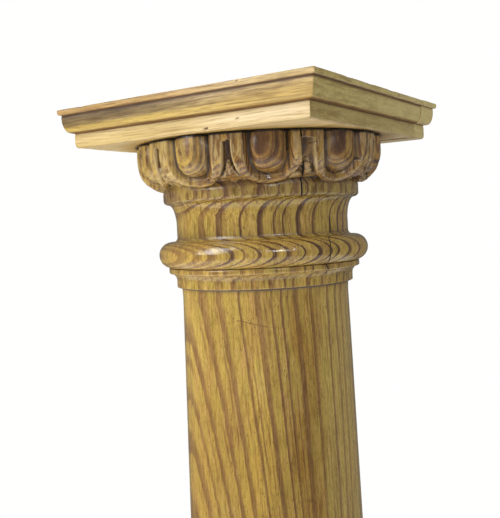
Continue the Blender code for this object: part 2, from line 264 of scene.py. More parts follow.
# Noises in the column's wood: size of the waves along X, Y and Z, detail, roughness and shift
COLUMN_NOISE = {
    "sway_x": (0.06, 0.06, 0.30, 2.0, 0.5, 0.0),
    "sway_y": (0.06, 0.06, 0.30, 2.0, 0.5, 7.0),
    "fray": (0.003, 0.003, 0.035, 3.0, 0.5, 0.0),
    "fading": (0.02, 0.02, 0.16, 2.0, 0.5, 3.0),
    "fine_rings": (0.012, 0.012, 0.09, 2.0, 0.5, 15.0),
    "broad": (0.03, 0.03, 0.22, 3.0, 0.5, 11.0),
    "russet": (0.010, 0.010, 0.09, 3.0, 0.5, 17.0),
    "tint": (0.0032, 0.0032, 0.018, 3.0, 0.6, 19.0),
    "fibre": (0.0011, 0.0011, 0.024, 4.0, 0.65, 5.0),
    "thread": (0.0006, 0.0006, 0.016, 2.0, 0.6, 21.0),
    "ducts": (0.0008, 0.0008, 0.0030, 1.0, 0.5, 9.0),
    "duct_zone": (0.02, 0.02, 0.012, 2.0, 0.5, 23.0),
    "turning": (0.05, 0.05, 0.0007, 2.0, 0.6, 25.0),
    "waver": (0.02, 0.02, 0.05, 2.0, 0.5, 33.0),
    "speckle": (0.0014, 0.0014, 0.0045, 2.0, 0.6, 37.0),
    "mottle": (0.006, 0.006, 0.010, 3.0, 0.5, 13.0),
    "blotch": (0.0042, 0.0042, 0.016, 3.0, 0.6, 27.0),
    "streaks": (0.0022, 0.0022, 0.012, 3.0, 0.6, 31.0),
    "dashes": (0.0016, 0.0016, 0.004, 1.0, 0.5, 35.0),
}
# The same for sawn wood, where each piece's seed is added to the shift
BOARD_NOISE = {
    "sway": (0.16, 0.030, 0.030, 2.0, 0.5, 0.0),
    "streak": (0.060, 0.0011, 0.0011, 3.0, 0.6, 1.0),
    "broad": (0.09, 0.02, 0.010, 3.0, 0.5, 2.0),
    "mottle": (0.010, 0.010, 0.010, 4.0, 0.6, 3.0),
    "grit": (0.0014, 0.0014, 0.0014, 2.0, 0.6, 4.0),
    "thread": (0.022, 0.0007, 0.0007, 2.0, 0.6, 6.0),
    "waver": (0.03, 0.03, 0.006, 3.0, 0.6, 7.0),
    "cloud": (0.026, 0.010, 0.0018, 5.0, 0.7, 8.0),
    "blot": (0.012, 0.026, 0.0035, 5.0, 0.7, 9.0),
    "scratches": (0.02, 0.0060, 0.0011, 2.0, 0.6, 10.0),
}
# Zones of the column's colour: where each starts and is full, across the light or in height above the shaft
SHADED_ACROSS = (-0.085, -0.005)
CAPITAL_EDGE = (-0.004, 0.006)
SHAFT_EDGE = (-0.010, -0.002)
LOWER_LEFT_RISE = (-0.17, -0.05)
LOWER_LEFT_ACROSS = (0.020, 0.050)
BROWN_ACROSS = (0.006, 0.016)
PALE_ACROSS = (0.036, 0.060)
NECK_FOOT = (0.040, 0.046)
NECK_TOP = (0.068, 0.078)
FILLET_BLEACH = (-0.004, 0.004)
COVE_BLEACH = (0.060, 0.070)
ZONE_WAVER = 0.02
WAX_ROUGHNESS = 0.035
WAX_IOR = 1.8
BOARD_ROUGHNESS = 0.30
COLUMN_GRAIN_DEPTH = 0.00022
BOARD_GRAIN_DEPTH = 0.00025

# Wood tones, linear colour
PINE_OLIVE = (0.41, 0.280, 0.060)
PINE_TAN = (0.50, 0.352, 0.080)
PINE_HONEY = (0.55, 0.370, 0.080)
PINE_PALE = (0.63, 0.475, 0.145)
EARLYWOOD = [(0.30, PINE_OLIVE), (0.48, PINE_TAN), (0.62, PINE_HONEY), (0.78, PINE_PALE)]
PINE_RUSSET = (0.37, 0.202, 0.066)
PINE_GREEN = (0.38, 0.315, 0.060)
PINE_PINK = (0.58, 0.36, 0.135)
LATEWOOD = (0.152, 0.068, 0.034)
NECK_LATEWOOD = (0.060, 0.032, 0.018)
FIBRE_DARK = (0.60, 0.50, 0.38)
# Resin ducts and marks, and also the painted shade in the board's hollows
DUCT_AND_SHADE_BROWN = (0.16, 0.085, 0.035)
# Dirt together with painted shade, in hollows, creases and joints
SHADE_AND_DIRT_BROWN = (0.050, 0.028, 0.014)
CAPITAL_PATINA = (0.67, 0.51, 0.43)
SHAFT_DEPTH = (0.84, 0.80, 0.68)
SPECKLE = (0.82, 0.80, 0.78)
BROWN_BAND = 0.031
BAND_BROWN = (0.74, 0.62, 0.48)
# Painted shade that darkens the neck on its side towards the light
NECK_LIT_SIDE_SHADE = (0.84, 0.84, 0.80)
BAND_AGE = (0.78, 0.82, 0.98)
GREEN_PALE = (0.66, 0.56, 0.22)
BLOTCH = (0.48, 0.38, 0.34)
RUBBED_EDGE = (0.62, 0.46, 0.22)
LIP_OLIVE = (0.50, 0.38, 0.165)
# Painted light: a golden glow on the capital's crowns on the side towards the light
LIT_CROWN_GOLD = (0.58, 0.41, 0.10)
# Heights of painted shadow lines: in the joint under the plate, and under the lowest fillet
JOINT_SHADOW = 0.0024
FILLET_SHADOW = 0.0012
# Black painted as shade into the cracks and into the joint under the plate
SHADOW_BLACK = (0.012, 0.008, 0.006)
BOARD_TONES = ((0.53, 0.41, 0.19), (0.66, 0.53, 0.28), (0.75, 0.62, 0.38))
# Tint by height on the plate's edge, from its underside (0) to its top (1), at the left and right ends; the
# dark dip at 0.375 is a painted shadow line at the ovolo's foot
AGE_LEFT = [(0.00, (1.00, 1.00, 0.98)), (0.03, (0.92, 0.87, 0.66)), (0.355, (0.92, 0.87, 0.66)),
            (0.375, (0.62, 0.53, 0.30)), (0.50, (0.90, 0.80, 0.33)), (0.58, (0.42, 0.37, 0.27)),
            (0.80, (0.27, 0.23, 0.21)), (0.86, (0.70, 0.54, 0.34)), (1.00, (0.76, 0.62, 0.42))]
AGE_RIGHT = [(0.00, (1.06, 1.04, 1.06)), (0.355, (1.06, 1.04, 1.06)), (0.375, (0.74, 0.66, 0.42)),
             (0.52, (0.96, 0.86, 0.54)), (0.64, (0.94, 0.85, 0.62)), (0.80, (0.98, 0.90, 0.74)),
             (0.86, (0.98, 0.92, 0.84)), (1.00, (1.04, 1.00, 0.94))]
GRIME_BY_HEIGHT = [(0.00, 0.05), (0.36, 0.10), (0.45, 0.45), (0.75, 0.95), (0.88, 0.60),
                   (0.97, 0.55), (1.00, 0.20)]
GRIME = (0.46, 0.41, 0.42)
# Painted shadow lines by height: at the foot of the ovolo and under the top fillet
PLATE_SHADOW_LINES = [(0.0, 1.0), (0.366, 1.0), (0.376, (0.34, 0.22, 0.11)), (0.402, (0.40, 0.27, 0.13)),
               (0.430, 1.0), (0.785, 1.0), (0.825, (0.28, 0.20, 0.15)), (0.860, (0.22, 0.15, 0.11)),
               (0.868, 1.0)]
BOARD_LATE = (0.40, 0.26, 0.10)
BOARD_END = (0.46, 0.365, 0.115)
BOARD_END_PALE = (0.62, 0.52, 0.22)
# Painted shade and reflected wood colour on the plate's underside around the column
UNDERSIDE_SHADE = (0.62, 0.48, 0.15)
END_GRIME = (0.60, 0.52, 0.42)
END_FASCIA = (0.86, 0.82, 0.80)
STRIP_END = (0.60, 0.50, 0.19)
BOARD_RUBBED = (0.86, 0.74, 0.48)
SCRATCHED = (0.90, 0.84, 0.62)
PLINTH_TONES = (PINE_OLIVE, PINE_TAN, PINE_HONEY)

# Studio
FLOOR_RADIUS = 1.8
FLOOR_SEGMENTS = 96
FLOOR_DROP = 0.0005
FLOOR_PLAIN_SHARE = 0.45
FLOOR_EDGE_GLOW = 0.45
FLOOR_ROUGHNESS = 0.9
FLOOR_TONES = [(0.3, (0.80, 0.80, 0.79)), (0.7, (0.84, 0.84, 0.83))]
FLOOR_NOISE = {"grain": (0.4, 0.4, 0.4, 2.0, 0.5, 0.0)}
BACKDROP_STRENGTH = 1.0
BACKDROP_COLOUR = (1.0, 1.0, 0.995, 1.0)
WALL_COLOUR = (1.0, 0.99, 0.97, 1.0)
WALL_LEFT = 0.50
WALL_RIGHT = 0.54
WALL_LEFT_AZIMUTH = -60.0
WALL_TILT = 0.15
WALL_MIRRORED = 0.3
LIGHT_AIM_RISE = 0.05
# Azimuth round the column, elevation, distance, width and height, power, colour, and seen in reflections
LIGHTS = {
    "window": (-27.0, 33.0, 2.0, (0.80, 1.60), 23.5, (1.0, 0.98, 0.97), True),
    "side_window": (-80.0, 20.0, 2.0, (1.2, 1.2), 0.8, (1.0, 0.99, 0.97), False),
    "small_window": (49.5, 21.0, 2.2, (0.50, 0.36), 7.5, (1.0, 0.98, 0.97), True),
    "reflector": (-40.0, -40.0, 1.2, (1.0, 0.6), 11.0, (1.0, 0.97, 0.94), False),
}

# Photograph's camera, solved from the plate's corners and the turned rings
CAMERA_LENS = 52.27
CAMERA_SENSOR = 36.0
CAMERA_AZIMUTH = math.pi / 4 - 0.232956
CAMERA_DISTANCE = 0.68644
CAMERA_RISE = 0.05498
CAMERA_YAW = -0.018413
CAMERA_PITCH = -0.048256
CAMERA_ROLL = -0.050461
CAMERA_NEAR = 0.01
CAMERA_FAR = 50.0

COLUMN_LOW, COLUMN_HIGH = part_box("column")
BOARD_LOW, BOARD_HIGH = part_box("top_plate_board")
STRIP_LOW, STRIP_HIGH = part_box("top_plate_back_strip")
PLINTH_LOW, PLINTH_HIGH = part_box("plinth")
SHAFT_FOOT_RADIUS = SHAFT_TOP_RADIUS + SHAFT_SWELLING
NECK_RADIUS = SHAFT_TOP_RADIUS + NECK_PROJECTION
BAND_RADIUS = SHAFT_TOP_RADIUS + BAND_PROJECTION
ECHINUS_RADIUS = SHAFT_TOP_RADIUS + ECHINUS_PROJECTION
ECHINUS_FOOT = COLUMN_HIGH.z - ECHINUS_HEIGHT
NECK_HEIGHT = (LOWER_FILLET_HEIGHT + SMALL_COVE_HEIGHT + UPPER_FILLET_HEIGHT + ASTRAGAL_HEIGHT
               + ASTRAGAL_SHOULDER_HEIGHT + NECK_STRAIGHT + NECK_COVE_HEIGHT + BAND_EDGE_HEIGHT
               + BAND_HEIGHT)
SHAFT_TOP = ECHINUS_FOOT - NECK_HEIGHT
PLATE_HALF_WIDTH = BOARD_HIGH.x
# Sawn wood: the pith's place along Y and Z, ring spacing, tones, end grain's tone, share of latewood, seed
SAWN = {
    "plate_pine": (-0.02, BOARD_LOW.z - 0.10, 0.0024, BOARD_TONES, BOARD_END, 0.40, 17.0),
    "strip_pine": (0.16, BOARD_LOW.z - 0.05, 0.0026, BOARD_TONES, STRIP_END, 0.35, 29.0),
    "plinth_pine": (0.03, -0.06, 0.0040, PLINTH_TONES, BOARD_END, 0.60, 37.0),
}
FASCIA_HALF_WIDTH = PLATE_HALF_WIDTH - TOP_FILLET_PROJECTION - OVOLO_PROJECTION - OVOLO_STEP


def lattice(cells, seed):
    """Fixed pseudo-random values between -1 and 1 at whole-number points."""
    mixed = (cells[..., 0] * 374761393 + cells[..., 1] * 668265263 + cells[..., 2] * 1442695041
             + seed * 1274126177) & 0xFFFFFFFF
    mixed = ((mixed ^ (mixed >> 13)) * 1103515245) & 0xFFFFFFFF
    mixed = mixed ^ (mixed >> 16)
    return mixed / 2.0 ** 31 - 1.0


def noise(points, size, seed):
    """Smooth noise between -1 and 1 whose waves are about as long as the given size."""
    scaled = points / np.asarray(size)
    cells = np.floor(scaled).astype(np.int64)
    share = scaled - cells
    share = share * share * (3 - 2 * share)
    total = np.zeros(points.shape[:-1])
    for corner in np.ndindex(2, 2, 2):
        weight = np.ones(points.shape[:-1])
        for axis in range(3):
            weight = weight * (share[..., axis] if corner[axis] else 1 - share[..., axis])
        total += weight * lattice(cells + np.array(corner), seed)
    return total


def smooth(low, high, value):
    share = np.clip((value - low) / (high - low), 0.0, 1.0)
    return share * share * (3 - 2 * share)


def bump(value, centre, width):
    """1 at the centre, falling smoothly to nothing at the given distance from it."""
    return 1 - smooth(0.0, width, np.abs(value - centre))


def turn_from(target, angles):
    """Angle from the target to each given one, between minus and plus half a turn."""
    return (angles - target + math.pi) % (2 * math.pi) - math.pi


class TurnedProfile:
    """Points of a lathe profile, radius against height, added from the foot upward."""

    def __init__(self, height):
        self.height = height
        self.points = []

    def at(self, radius):
        self.points.append((radius, self.height))

    def rise(self, height, radius):
        self.height += height
        self.points.append((radius, self.height))

    def cove(self, height, start, end, hollow_low):
        """A quarter-ellipse hollow from one radius to another."""
        for angle in np.linspace(0, math.pi / 2, CURVE_STEPS):
            turn = 1 - math.cos(angle) if hollow_low else math.sin(angle)
            climb = math.sin(angle) if hollow_low else 1 - math.cos(angle)
            self.points.append((start + (end - start) * turn, self.height + height * climb))
        self.height += height

    def bead(self, height, radius):
        """A half-round moulding whose widest radius is given."""
        half = height / 2
        for angle in np.linspace(-math.pi / 2, math.pi / 2, 2 * CURVE_STEPS):
            self.points.append((radius - half + half * math.cos(angle),
                                self.height + half + half * math.sin(angle)))
        self.height += height

    def resampled(self, spacing, rounding):
        """The profile at an even spacing, its arrises worn round, as an array."""
        points = np.array(self.points)
        steps = np.linalg.norm(np.diff(points, axis=0), axis=1)
        points = points[np.concatenate(([True], steps > LEAST_STEP))]
        along = np.concatenate(([0.0], np.cumsum(np.linalg.norm(np.diff(points, axis=0), axis=1))))
        fine_step = rounding / 4
        fine = np.arange(0.0, along[-1], fine_step)
        path = np.column_stack([np.interp(fine, along, points[:, axis]) for axis in range(2)])
        reach = np.arange(-KERNEL_REACH, KERNEL_REACH + 1)
        kernel = np.exp(-0.5 * (reach * fine_step / rounding) ** 2)
        kernel /= kernel.sum()
        padded = np.pad(path, ((KERNEL_REACH, KERNEL_REACH), (0, 0)), mode="edge")
        worn = np.column_stack([np.convolve(padded[:, axis], kernel, mode="valid") for axis in range(2)])
        count = max(int(round(along[-1] / spacing)), 2)
        places = np.linspace(0, len(worn) - 1, count + 1)
        order = np.arange(len(worn))
        result = np.column_stack([np.interp(places, order, worn[:, axis]) for axis in range(2)])
        result[0] = points[0]
        result[-1] = points[-1]
        return result


def neck_path():
    lower = SHAFT_TOP_RADIUS + LOWER_FILLET_PROJECTION
    upper = SHAFT_TOP_RADIUS + UPPER_FILLET_PROJECTION
    profile = TurnedProfile(SHAFT_TOP - NECKING_LEAD)
    profile.at(SHAFT_TOP_RADIUS + SHAFT_SWELLING * math.sin(math.pi / 2 * NECKING_LEAD / SHAFT_LENGTH))
    profile.rise(NECKING_LEAD, SHAFT_TOP_RADIUS + NECKING_FLARE)
    profile.at(lower)
    profile.rise(LOWER_FILLET_HEIGHT, lower)
    profile.cove(SMALL_COVE_HEIGHT, lower, upper, True)
    profile.rise(UPPER_FILLET_HEIGHT, upper)
    profile.bead(ASTRAGAL_HEIGHT, SHAFT_TOP_RADIUS + ASTRAGAL_PROJECTION)
    profile.at(NECK_RADIUS + ASTRAGAL_SHOULDER)
    profile.rise(ASTRAGAL_SHOULDER_HEIGHT, NECK_RADIUS)
    profile.rise(NECK_STRAIGHT, NECK_RADIUS)
    cove_end = NECK_RADIUS + NECK_COVE_PROJECTION
    profile.cove(NECK_COVE_HEIGHT, NECK_RADIUS, cove_end, True)
    profile.cove(BAND_EDGE_HEIGHT, cove_end, BAND_RADIUS, False)
    profile.rise(BAND_HEIGHT, BAND_RADIUS)
    return profile.resampled(NECK_SPACING, NECK_ROUNDING)


def base_path():
    fillet = SHAFT_FOOT_RADIUS + BASE_FILLET_PROJECTION
    profile = TurnedProfile(COLUMN_LOW.z)
    profile.bead(BASE_TORUS_HEIGHT, fillet + BASE_TORUS_OVERHANG)
    profile.at(fillet)
    profile.rise(BASE_FILLET_HEIGHT, fillet)
    profile.cove(BASE_COVE_HEIGHT, fillet, SHAFT_FOOT_RADIUS, False)
    return profile.resampled(BASE_SPACING, NECK_ROUNDING)


def shaft_path(foot):
    """The shaft from its foot to just under the lowest fillet, with its slow swelling."""
    heights = np.linspace(foot, SHAFT_TOP - NECKING_HEIGHT, SHAFT_ROWS)
    radii = SHAFT_TOP_RADIUS + SHAFT_SWELLING * np.sin(math.pi / 2 * (SHAFT_TOP - heights) / SHAFT_LENGTH)
    return np.column_stack([radii, heights])[1:]


def echinus_path():
    """Radius, height and outward direction along the swelling face, at even distances."""
    share = np.linspace(0, 1, FACE_SAMPLES)
    radius = BAND_RADIUS + (ECHINUS_RADIUS - BAND_RADIUS) * (1 - (1 - share) ** ECHINUS_FULLNESS)
    height = ECHINUS_FOOT + ECHINUS_HEIGHT * share
    along = np.concatenate(([0.0], np.cumsum(np.hypot(np.diff(radius), np.diff(height)))))
    rows = np.linspace(0, along[-1], CARVED_ROWS + 1)[1:]
    curves = {"radius": radius, "height": height, "out_radius": np.gradient(height, along),
              "out_height": -np.gradient(radius, along)}
    face = {key: np.interp(rows, along, values) for key, values in curves.items()}
    return {"along": rows, "length": along[-1], **face}


def outline_width(half_width, along, shoulder, bottom):
    drop = np.clip((shoulder - along) / (shoulder - bottom), 0.0, 1.0)
    return half_width * (1 - drop ** OUTLINE_FULLNESS) ** (1 / OUTLINE_FULLNESS)


def outline_reach(across, half_width, along, shoulder, bottom):
    drop = np.maximum(shoulder - along, 0.0) / (shoulder - bottom)
    share = np.abs(across) / half_width
    return (share ** OUTLINE_FULLNESS + drop ** OUTLINE_FULLNESS) ** (1 / OUTLINE_FULLNESS)


def hand_of(unit, part):
    """How far a part of each egg's carving strays from the pattern."""
    most, seed = HAND[part]
    return most * lattice(np.stack([unit, unit * 0, unit * 0], axis=-1), seed)


def ripple(points, waves):
    """Unevenness of a surface as the sum of its waves."""
    return sum(height * noise(points, size, seed) for height, size, seed in waves)


def carved_offsets(face):
    """Distances from an egg's middle of the mesh columns in each carved row, out to the dart's middle."""
    length = face["length"]
    columns = []
    for along, radius in zip(face["along"], face["radius"]):
        half_pitch = radius * math.pi / EGG_COUNT
        widest = half_pitch - SLOT_HALF_WIDTH
        egg = outline_width(EGG_HALF_WIDTH, along, EGG_SHOULDER * length, EGG_BOTTOM * length)
        egg = max(egg, LEAST_EGG_SHARE * EGG_HALF_WIDTH)
        rim_inner = egg + GROOVE_WIDTH
        rim_outer = outline_width(widest, along, RIM_SHOULDER * length, RIM_BOTTOM * length)
        rim_outer = min(max(rim_outer, rim_inner + SLOT_HALF_WIDTH), widest)
        rim_inner = min(rim_inner, rim_outer - SLOT_HALF_WIDTH)
        egg = min(egg, rim_inner - SLOT_HALF_WIDTH)
        places = np.concatenate([
            np.linspace(0, egg, EGG_STEPS, endpoint=False),
            np.linspace(egg, rim_inner, GROOVE_STEPS, endpoint=False),
            np.linspace(rim_inner, rim_outer, RIM_STEPS, endpoint=False),
            np.linspace(rim_outer, half_pitch, SLOT_STEPS + 1),
        ])
        columns.append(np.concatenate([-places[:0:-1], places[:-1]]))
    return np.array(columns)


def carved_depth(across, half_pitch, along, length, unit):
    """Depth of the carving below the face, how dark its painted shade and dirt make it, and where a shell's
    lip is.

    Across is measured from the egg's middle.
    """
    side = np.sign(across)
    egg_half = EGG_HALF_WIDTH * (1 + hand_of(unit, "egg_width"))
    egg_bottom = (EGG_BOTTOM + hand_of(unit, "egg_foot")) * length
    inner_bottom = (RIM_INNER_BOTTOM + hand_of(unit, "groove_foot")) * length
    rim_bottom = (RIM_BOTTOM + hand_of(unit, "rim_foot")) * length
    slot_index = (unit - (side < 0)) % EGG_COUNT
    slot_half = SLOT_HALF_WIDTH * SLOT_WIDTHS[slot_index]
    slot_depth = SLOT_DEPTH * SLOT_DEPTHS[slot_index]
    slot_top = (SLOT_TOP + hand_of(unit, "slot_top")) * length
    inner_half = egg_half + GROOVE_WIDTH * (1 + hand_of(unit, "groove_width"))
    outer_half = half_pitch - slot_half
    from_egg = across - hand_of(unit, "egg_middle")
    egg = outline_reach(from_egg, egg_half, along, EGG_SHOULDER * length, egg_bottom)
    dome = EGG_RISE * (1 - np.sqrt(np.clip(1 - egg ** EGG_FULLNESS, 0.0, 1.0)))
    inner = outline_reach(from_egg, inner_half, along, EGG_SHOULDER * length, inner_bottom)
    sunk_share = np.clip((1 - inner) / np.maximum(egg - inner, 1e-6), 0.0, 1.0)
    wall = GROOVE_DEPTH * (GROOVE_SLOPE * sunk_share + GROOVE_FLOOR * smooth(0.8, 1.0, sunk_share))
    outer = outline_reach(across, outer_half, along, RIM_SHOULDER * length, rim_bottom)
    outside = (outer - 1) * outer_half
    inside = (inner - 1) * inner_half
    from_dart = (half_pitch - np.abs(across)) / DART_HALF_WIDTH
    sunk_above = smooth(DART_SIDE_TOP * length, DART_TOP * length, along)
    ground = SLOT_DEPTH + (slot_depth - SLOT_DEPTH) * sunk_above - dart_rise(from_dart, along, length)
    slot = ground * smooth(0.0, CARVED_EDGE, outside) * smooth(0.0, rim_bottom, along)
    slot = slot * (1 - smooth(slot_top - CARVED_EDGE / 2, slot_top + CARVED_EDGE / 2, along))
    edge_in = np.clip(inside, 0.0, 1.0)
    edge_out = np.clip(-outside, 0.0, 1.0)
    rounding = RIM_ROUNDING * (1 + FOOT_ROUNDING * (1 - smooth(0.10 * length, 0.35 * length, along)))
    rounded = rounding * (np.exp(-edge_in / rounding) + OUTER_EDGE_SHARE * np.exp(-edge_out / rounding))
    hollow = RIM_HOLLOW * smooth(0.0, RIM_HOLLOW_REACH, np.minimum(edge_in, edge_out))
    foot = (1 - smooth(0.12 * length, 0.40 * length, along)) * smooth(0.0, rim_bottom, along)
    across_lip = 2 * edge_in / np.maximum(edge_in + edge_out, 1e-6) - 1
    roll = FOOT_ROLL * foot * (1 - np.sqrt(np.clip(1 - across_lip ** 2, 0.0, 1.0)))
    rim = rounded + hollow + roll
    depth = np.where(egg < 1, dome, np.where(inner < 1, np.maximum(wall, FOOT_ROLL * foot) + rounded, rim))
    in_slot = (inner >= 1) & (outer >= 1)
    on_rim = (inner >= 1) & (outer < 1)
    on_dart = smooth(0.0, DART_EDGE_RISE, dart_rise(from_dart, along, length))
    # Painted shade with dirt: in the slots, less on the darts, in the grooves and on the eggs' flanks
    slot_shade = SLOT_SHADE * smooth(0.0, 0.0004, outside) * smooth(0.0008, 0.003, slot)
    slot_shade = slot_shade * (1 - DART_UNSHADED * on_dart)
    groove_shade = GROOVE_SHADE * smooth(0.25, 0.95, sunk_share)
    egg_shade = EGG_SHADE * smooth(0.5 * EGG_RISE, EGG_RISE, dome)
    shade = np.where(egg < 1, egg_shade, np.where(inner < 1, groove_shade, slot_shade * in_slot))
    return np.where(in_slot, np.maximum(slot, rounded + FOOT_ROLL * foot), depth), shade, on_rim * 1.0


def hand_shift(angles):
    """How far the carver's slots stray from even spacing, fading to nothing at the middle of each egg."""
    pitch = 2 * math.pi / EGG_COUNT
    turn = angles % (2 * math.pi) / pitch
    index = np.floor(turn).astype(np.int64) % EGG_COUNT
    return np.radians(SLOT_SHIFTS)[index] * np.sin(math.pi * (turn - np.floor(turn))) ** 2


def broken_away(angles, heights, places):
    """Depth of splintered wood, torn along the grain."""
    depth = np.zeros(places.shape[:-1])
    torn = sum(share * np.clip(0.5 + contrast * noise(places, size, seed), 0.0, 1.0)
               for share, contrast, size, seed in SPLINTERS)
    for degrees, reach, height, half_height, most in BROKEN:
        apart = turn_from(math.radians(degrees), angles)
        inside = bump(apart, 0.0, math.radians(reach)) * bump(heights, height, half_height)
        depth += most * inside * torn
    return depth


def knife_cuts(angles, heights, radii):
    """Depth of short straight cuts."""
    depth = np.zeros_like(angles)
    for first_degrees, first_height, last_degrees, last_height, half_width, most in CUTS:
        radius = radii.mean()
        along_x = radius * math.radians(last_degrees - first_degrees)
        along_z = last_height - first_height
        x = radius * turn_from(math.radians(first_degrees), angles)
        z = heights - first_height
        share = np.clip((x * along_x + z * along_z) / (along_x ** 2 + along_z ** 2), 0.0, 1.0)
        apart = np.hypot(x - share * along_x, z - share * along_z)
        depth = np.maximum(depth, most * (1 - smooth(0.0, 2 * half_width, apart)))
    return depth


def dart_rise(share, along, length):
    """A ridged leaf with three points at its foot, narrowing upward between two shells."""
    foot = np.interp(share, (0.0, 0.45, 1.0), (DART_TIP, DART_NOTCH, DART_SIDE_LOW)) * length
    top = (DART_SIDE_TOP + (DART_TOP - DART_SIDE_TOP) * np.clip(1 - share, 0.0, 1.0) ** DART_TAPER) * length
    leaf = smooth(0.0, CARVED_EDGE, along - foot) * smooth(0.0, CARVED_EDGE, top - along)
    leaf = leaf * smooth(0.0, 0.08, 1 - share)
    spread = DART_FAN * np.clip((DART_TOP * length - along) / (DART_TOP * length), 0.0, 1.0)
    valley = DART_VALLEY * bump(share, spread, DART_VALLEY_WIDTH) * smooth(0.0, 0.25, spread)
    return leaf * (DART_EDGE_RISE - valley + (DART_RISE - DART_EDGE_RISE) * np.clip(1 - share, 0.0, 1.0))


def grid_faces(first, rows, columns):
    """Quads of a grid that closes on itself round the column."""
    index = first + np.arange(rows * columns).reshape(rows, columns)
    following = np.roll(index, -1, axis=1)
    quads = np.stack([index[:-1], following[:-1], following[1:], index[1:]], axis=-1)
    return quads.reshape(-1, 4).tolist()


def fan(centre, first, count, upward):
    """Triangles from one point to a ring that closes on itself."""
    faces = []
    for index in range(count):
        here = first + index
        following = first + (index + 1) % count
        faces.append((centre, here, following) if upward else (centre, following, here))
    return faces


def stitch(lower, lower_angles, upper, upper_angles):
    """Triangles between two rings with different numbers of points, matched by angle."""
    faces = []
    turn = 2 * math.pi
    start = int(np.argmin(np.abs(turn_from(lower_angles[0], upper_angles))))
    upper = np.roll(upper, -start)
    upper_angles = np.roll(upper_angles, -start)
    low_turn = (lower_angles - lower_angles[0]) % turn
    high_turn = (upper_angles - upper_angles[0]) % turn
    low_turn = np.append(low_turn, turn)
    high_turn = np.append(high_turn, turn)
    low = 0
    high = 0
    while low < len(lower) or high < len(upper):
        corner = int(lower[low % len(lower)])
        above = int(upper[high % len(upper)])
        low_middle = (low_turn[low] + low_turn[low + 1]) / 2 if low < len(lower) else math.inf
        high_middle = (high_turn[high] + high_turn[high + 1]) / 2 if high < len(upper) else math.inf
        if low_middle < high_middle:
            faces.append((corner, int(lower[(low + 1) % len(lower)]), above))
            low += 1
        else:
            faces.append((corner, int(upper[(high + 1) % len(upper)]), above))
            high += 1
    return faces


def ring_points(radius, angle, height):
    radius, angle, height = np.broadcast_arrays(radius, angle, height)
    return np.stack([radius * np.sin(angle), -radius * np.cos(angle), height], axis=-1)


def make_piece(name, points, faces, attributes, material):
    mesh = bpy.data.meshes.new(name)
    mesh.from_pydata(points.tolist(), [], faces)
    for key, values in attributes.items():
        layer = mesh.attributes.new(key, "FLOAT", "POINT")
        layer.data.foreach_set("value", np.asarray(values, dtype=np.float32))
    mesh.materials.append(material)
    mesh.shade_smooth()
    mesh.validate()
    mesh.update()
    piece = bpy.data.objects.new(name, mesh)
    bpy.context.scene.collection.objects.link(piece)
    return piece


class Crack:
    """A drying crack: a V-shaped groove whose angle is given against height."""

    def __init__(self, depth, half_width, bends_mesh, stations):
        self.depth = depth
        self.bends_mesh = bends_mesh
        self.half_width = half_width
        self.heights = np.array([height for height, degrees in stations])
        self.angles = np.radians([degrees for height, degrees in stations])

    def angle_at(self, height):
        return np.interp(height, self.heights, self.angles)

    def depth_at(self, height):
        inside = np.minimum(height - self.heights[0], self.heights[-1] - height)
        return self.depth * smooth(0.0, 0.004, inside + 0.0004)


def bend_columns(crack, column, angles, heights):
    """Bends the mesh columns near a crack onto its line."""
    for row in range(angles.shape[0]):
        offset = crack.angle_at(heights[row]) - angles[row, column]
        apart = turn_from(angles[row, column], angles[row])
        fade = bump(heights[row], np.clip(heights[row], crack.heights[0], crack.heights[-1]), CRACK_FADE)
        fade *= smooth(ECHINUS_FOOT - BAND_HEIGHT, ECHINUS_FOOT - 2 * BAND_HEIGHT, heights[row])
        angles[row] += offset * fade * bump(apart, 0.0, CRACK_PULL)


def open_cracks(angles, heights, radii):
    """Moves mesh columns onto each crack. Gives how far each point is sunk, and where it is black."""
    sunk = np.zeros_like(angles)
    cracked = np.zeros_like(angles)
    for crack in CRACKS:
        rows = np.where(crack.depth_at(heights) > 0)[0]
        if crack.bends_mesh:
            middle = rows[len(rows) // 2]
            apart = turn_from(crack.angle_at(heights[middle]), angles[middle])
            bend_columns(crack, int(np.argmin(np.abs(apart))), angles, heights)
        for row in rows:
            target = crack.angle_at(heights[row])
            column = int(np.argmin(np.abs(turn_from(target, angles[row]))))
            half = crack.half_width / radii[row]
            for step in range(-3, 4):
                angles[row, column + step] = target + half * step * CRACK_STEP
            sunk[row, column - 1:column + 2] = crack.depth_at(heights[row])
            cracked[row, column - 2:column + 3] = 1.0
    return sunk, cracked


CRACKS = [
    Crack(0.0060, 0.00052, False, [(1.1160, 53.8), (1.1263, 53.7), (1.1313, 51.7), (1.1415, 50.4),
                                   (1.1536, 49.7), (1.1690, 49.3)]),
    Crack(0.0034, 0.00034, True, [(1.0515, 70.4), (1.0573, 68.3), (1.0607, 67.5), (1.0706, 66.3),
                                  (1.0802, 68.6), (1.0822, 73.0), (1.0846, 80.0), (1.0975, 78.6)]),
    Crack(0.0020, 0.00028, True, [(1.0412, 80.2), (1.0460, 80.7), (1.0510, 80.9)]),
]


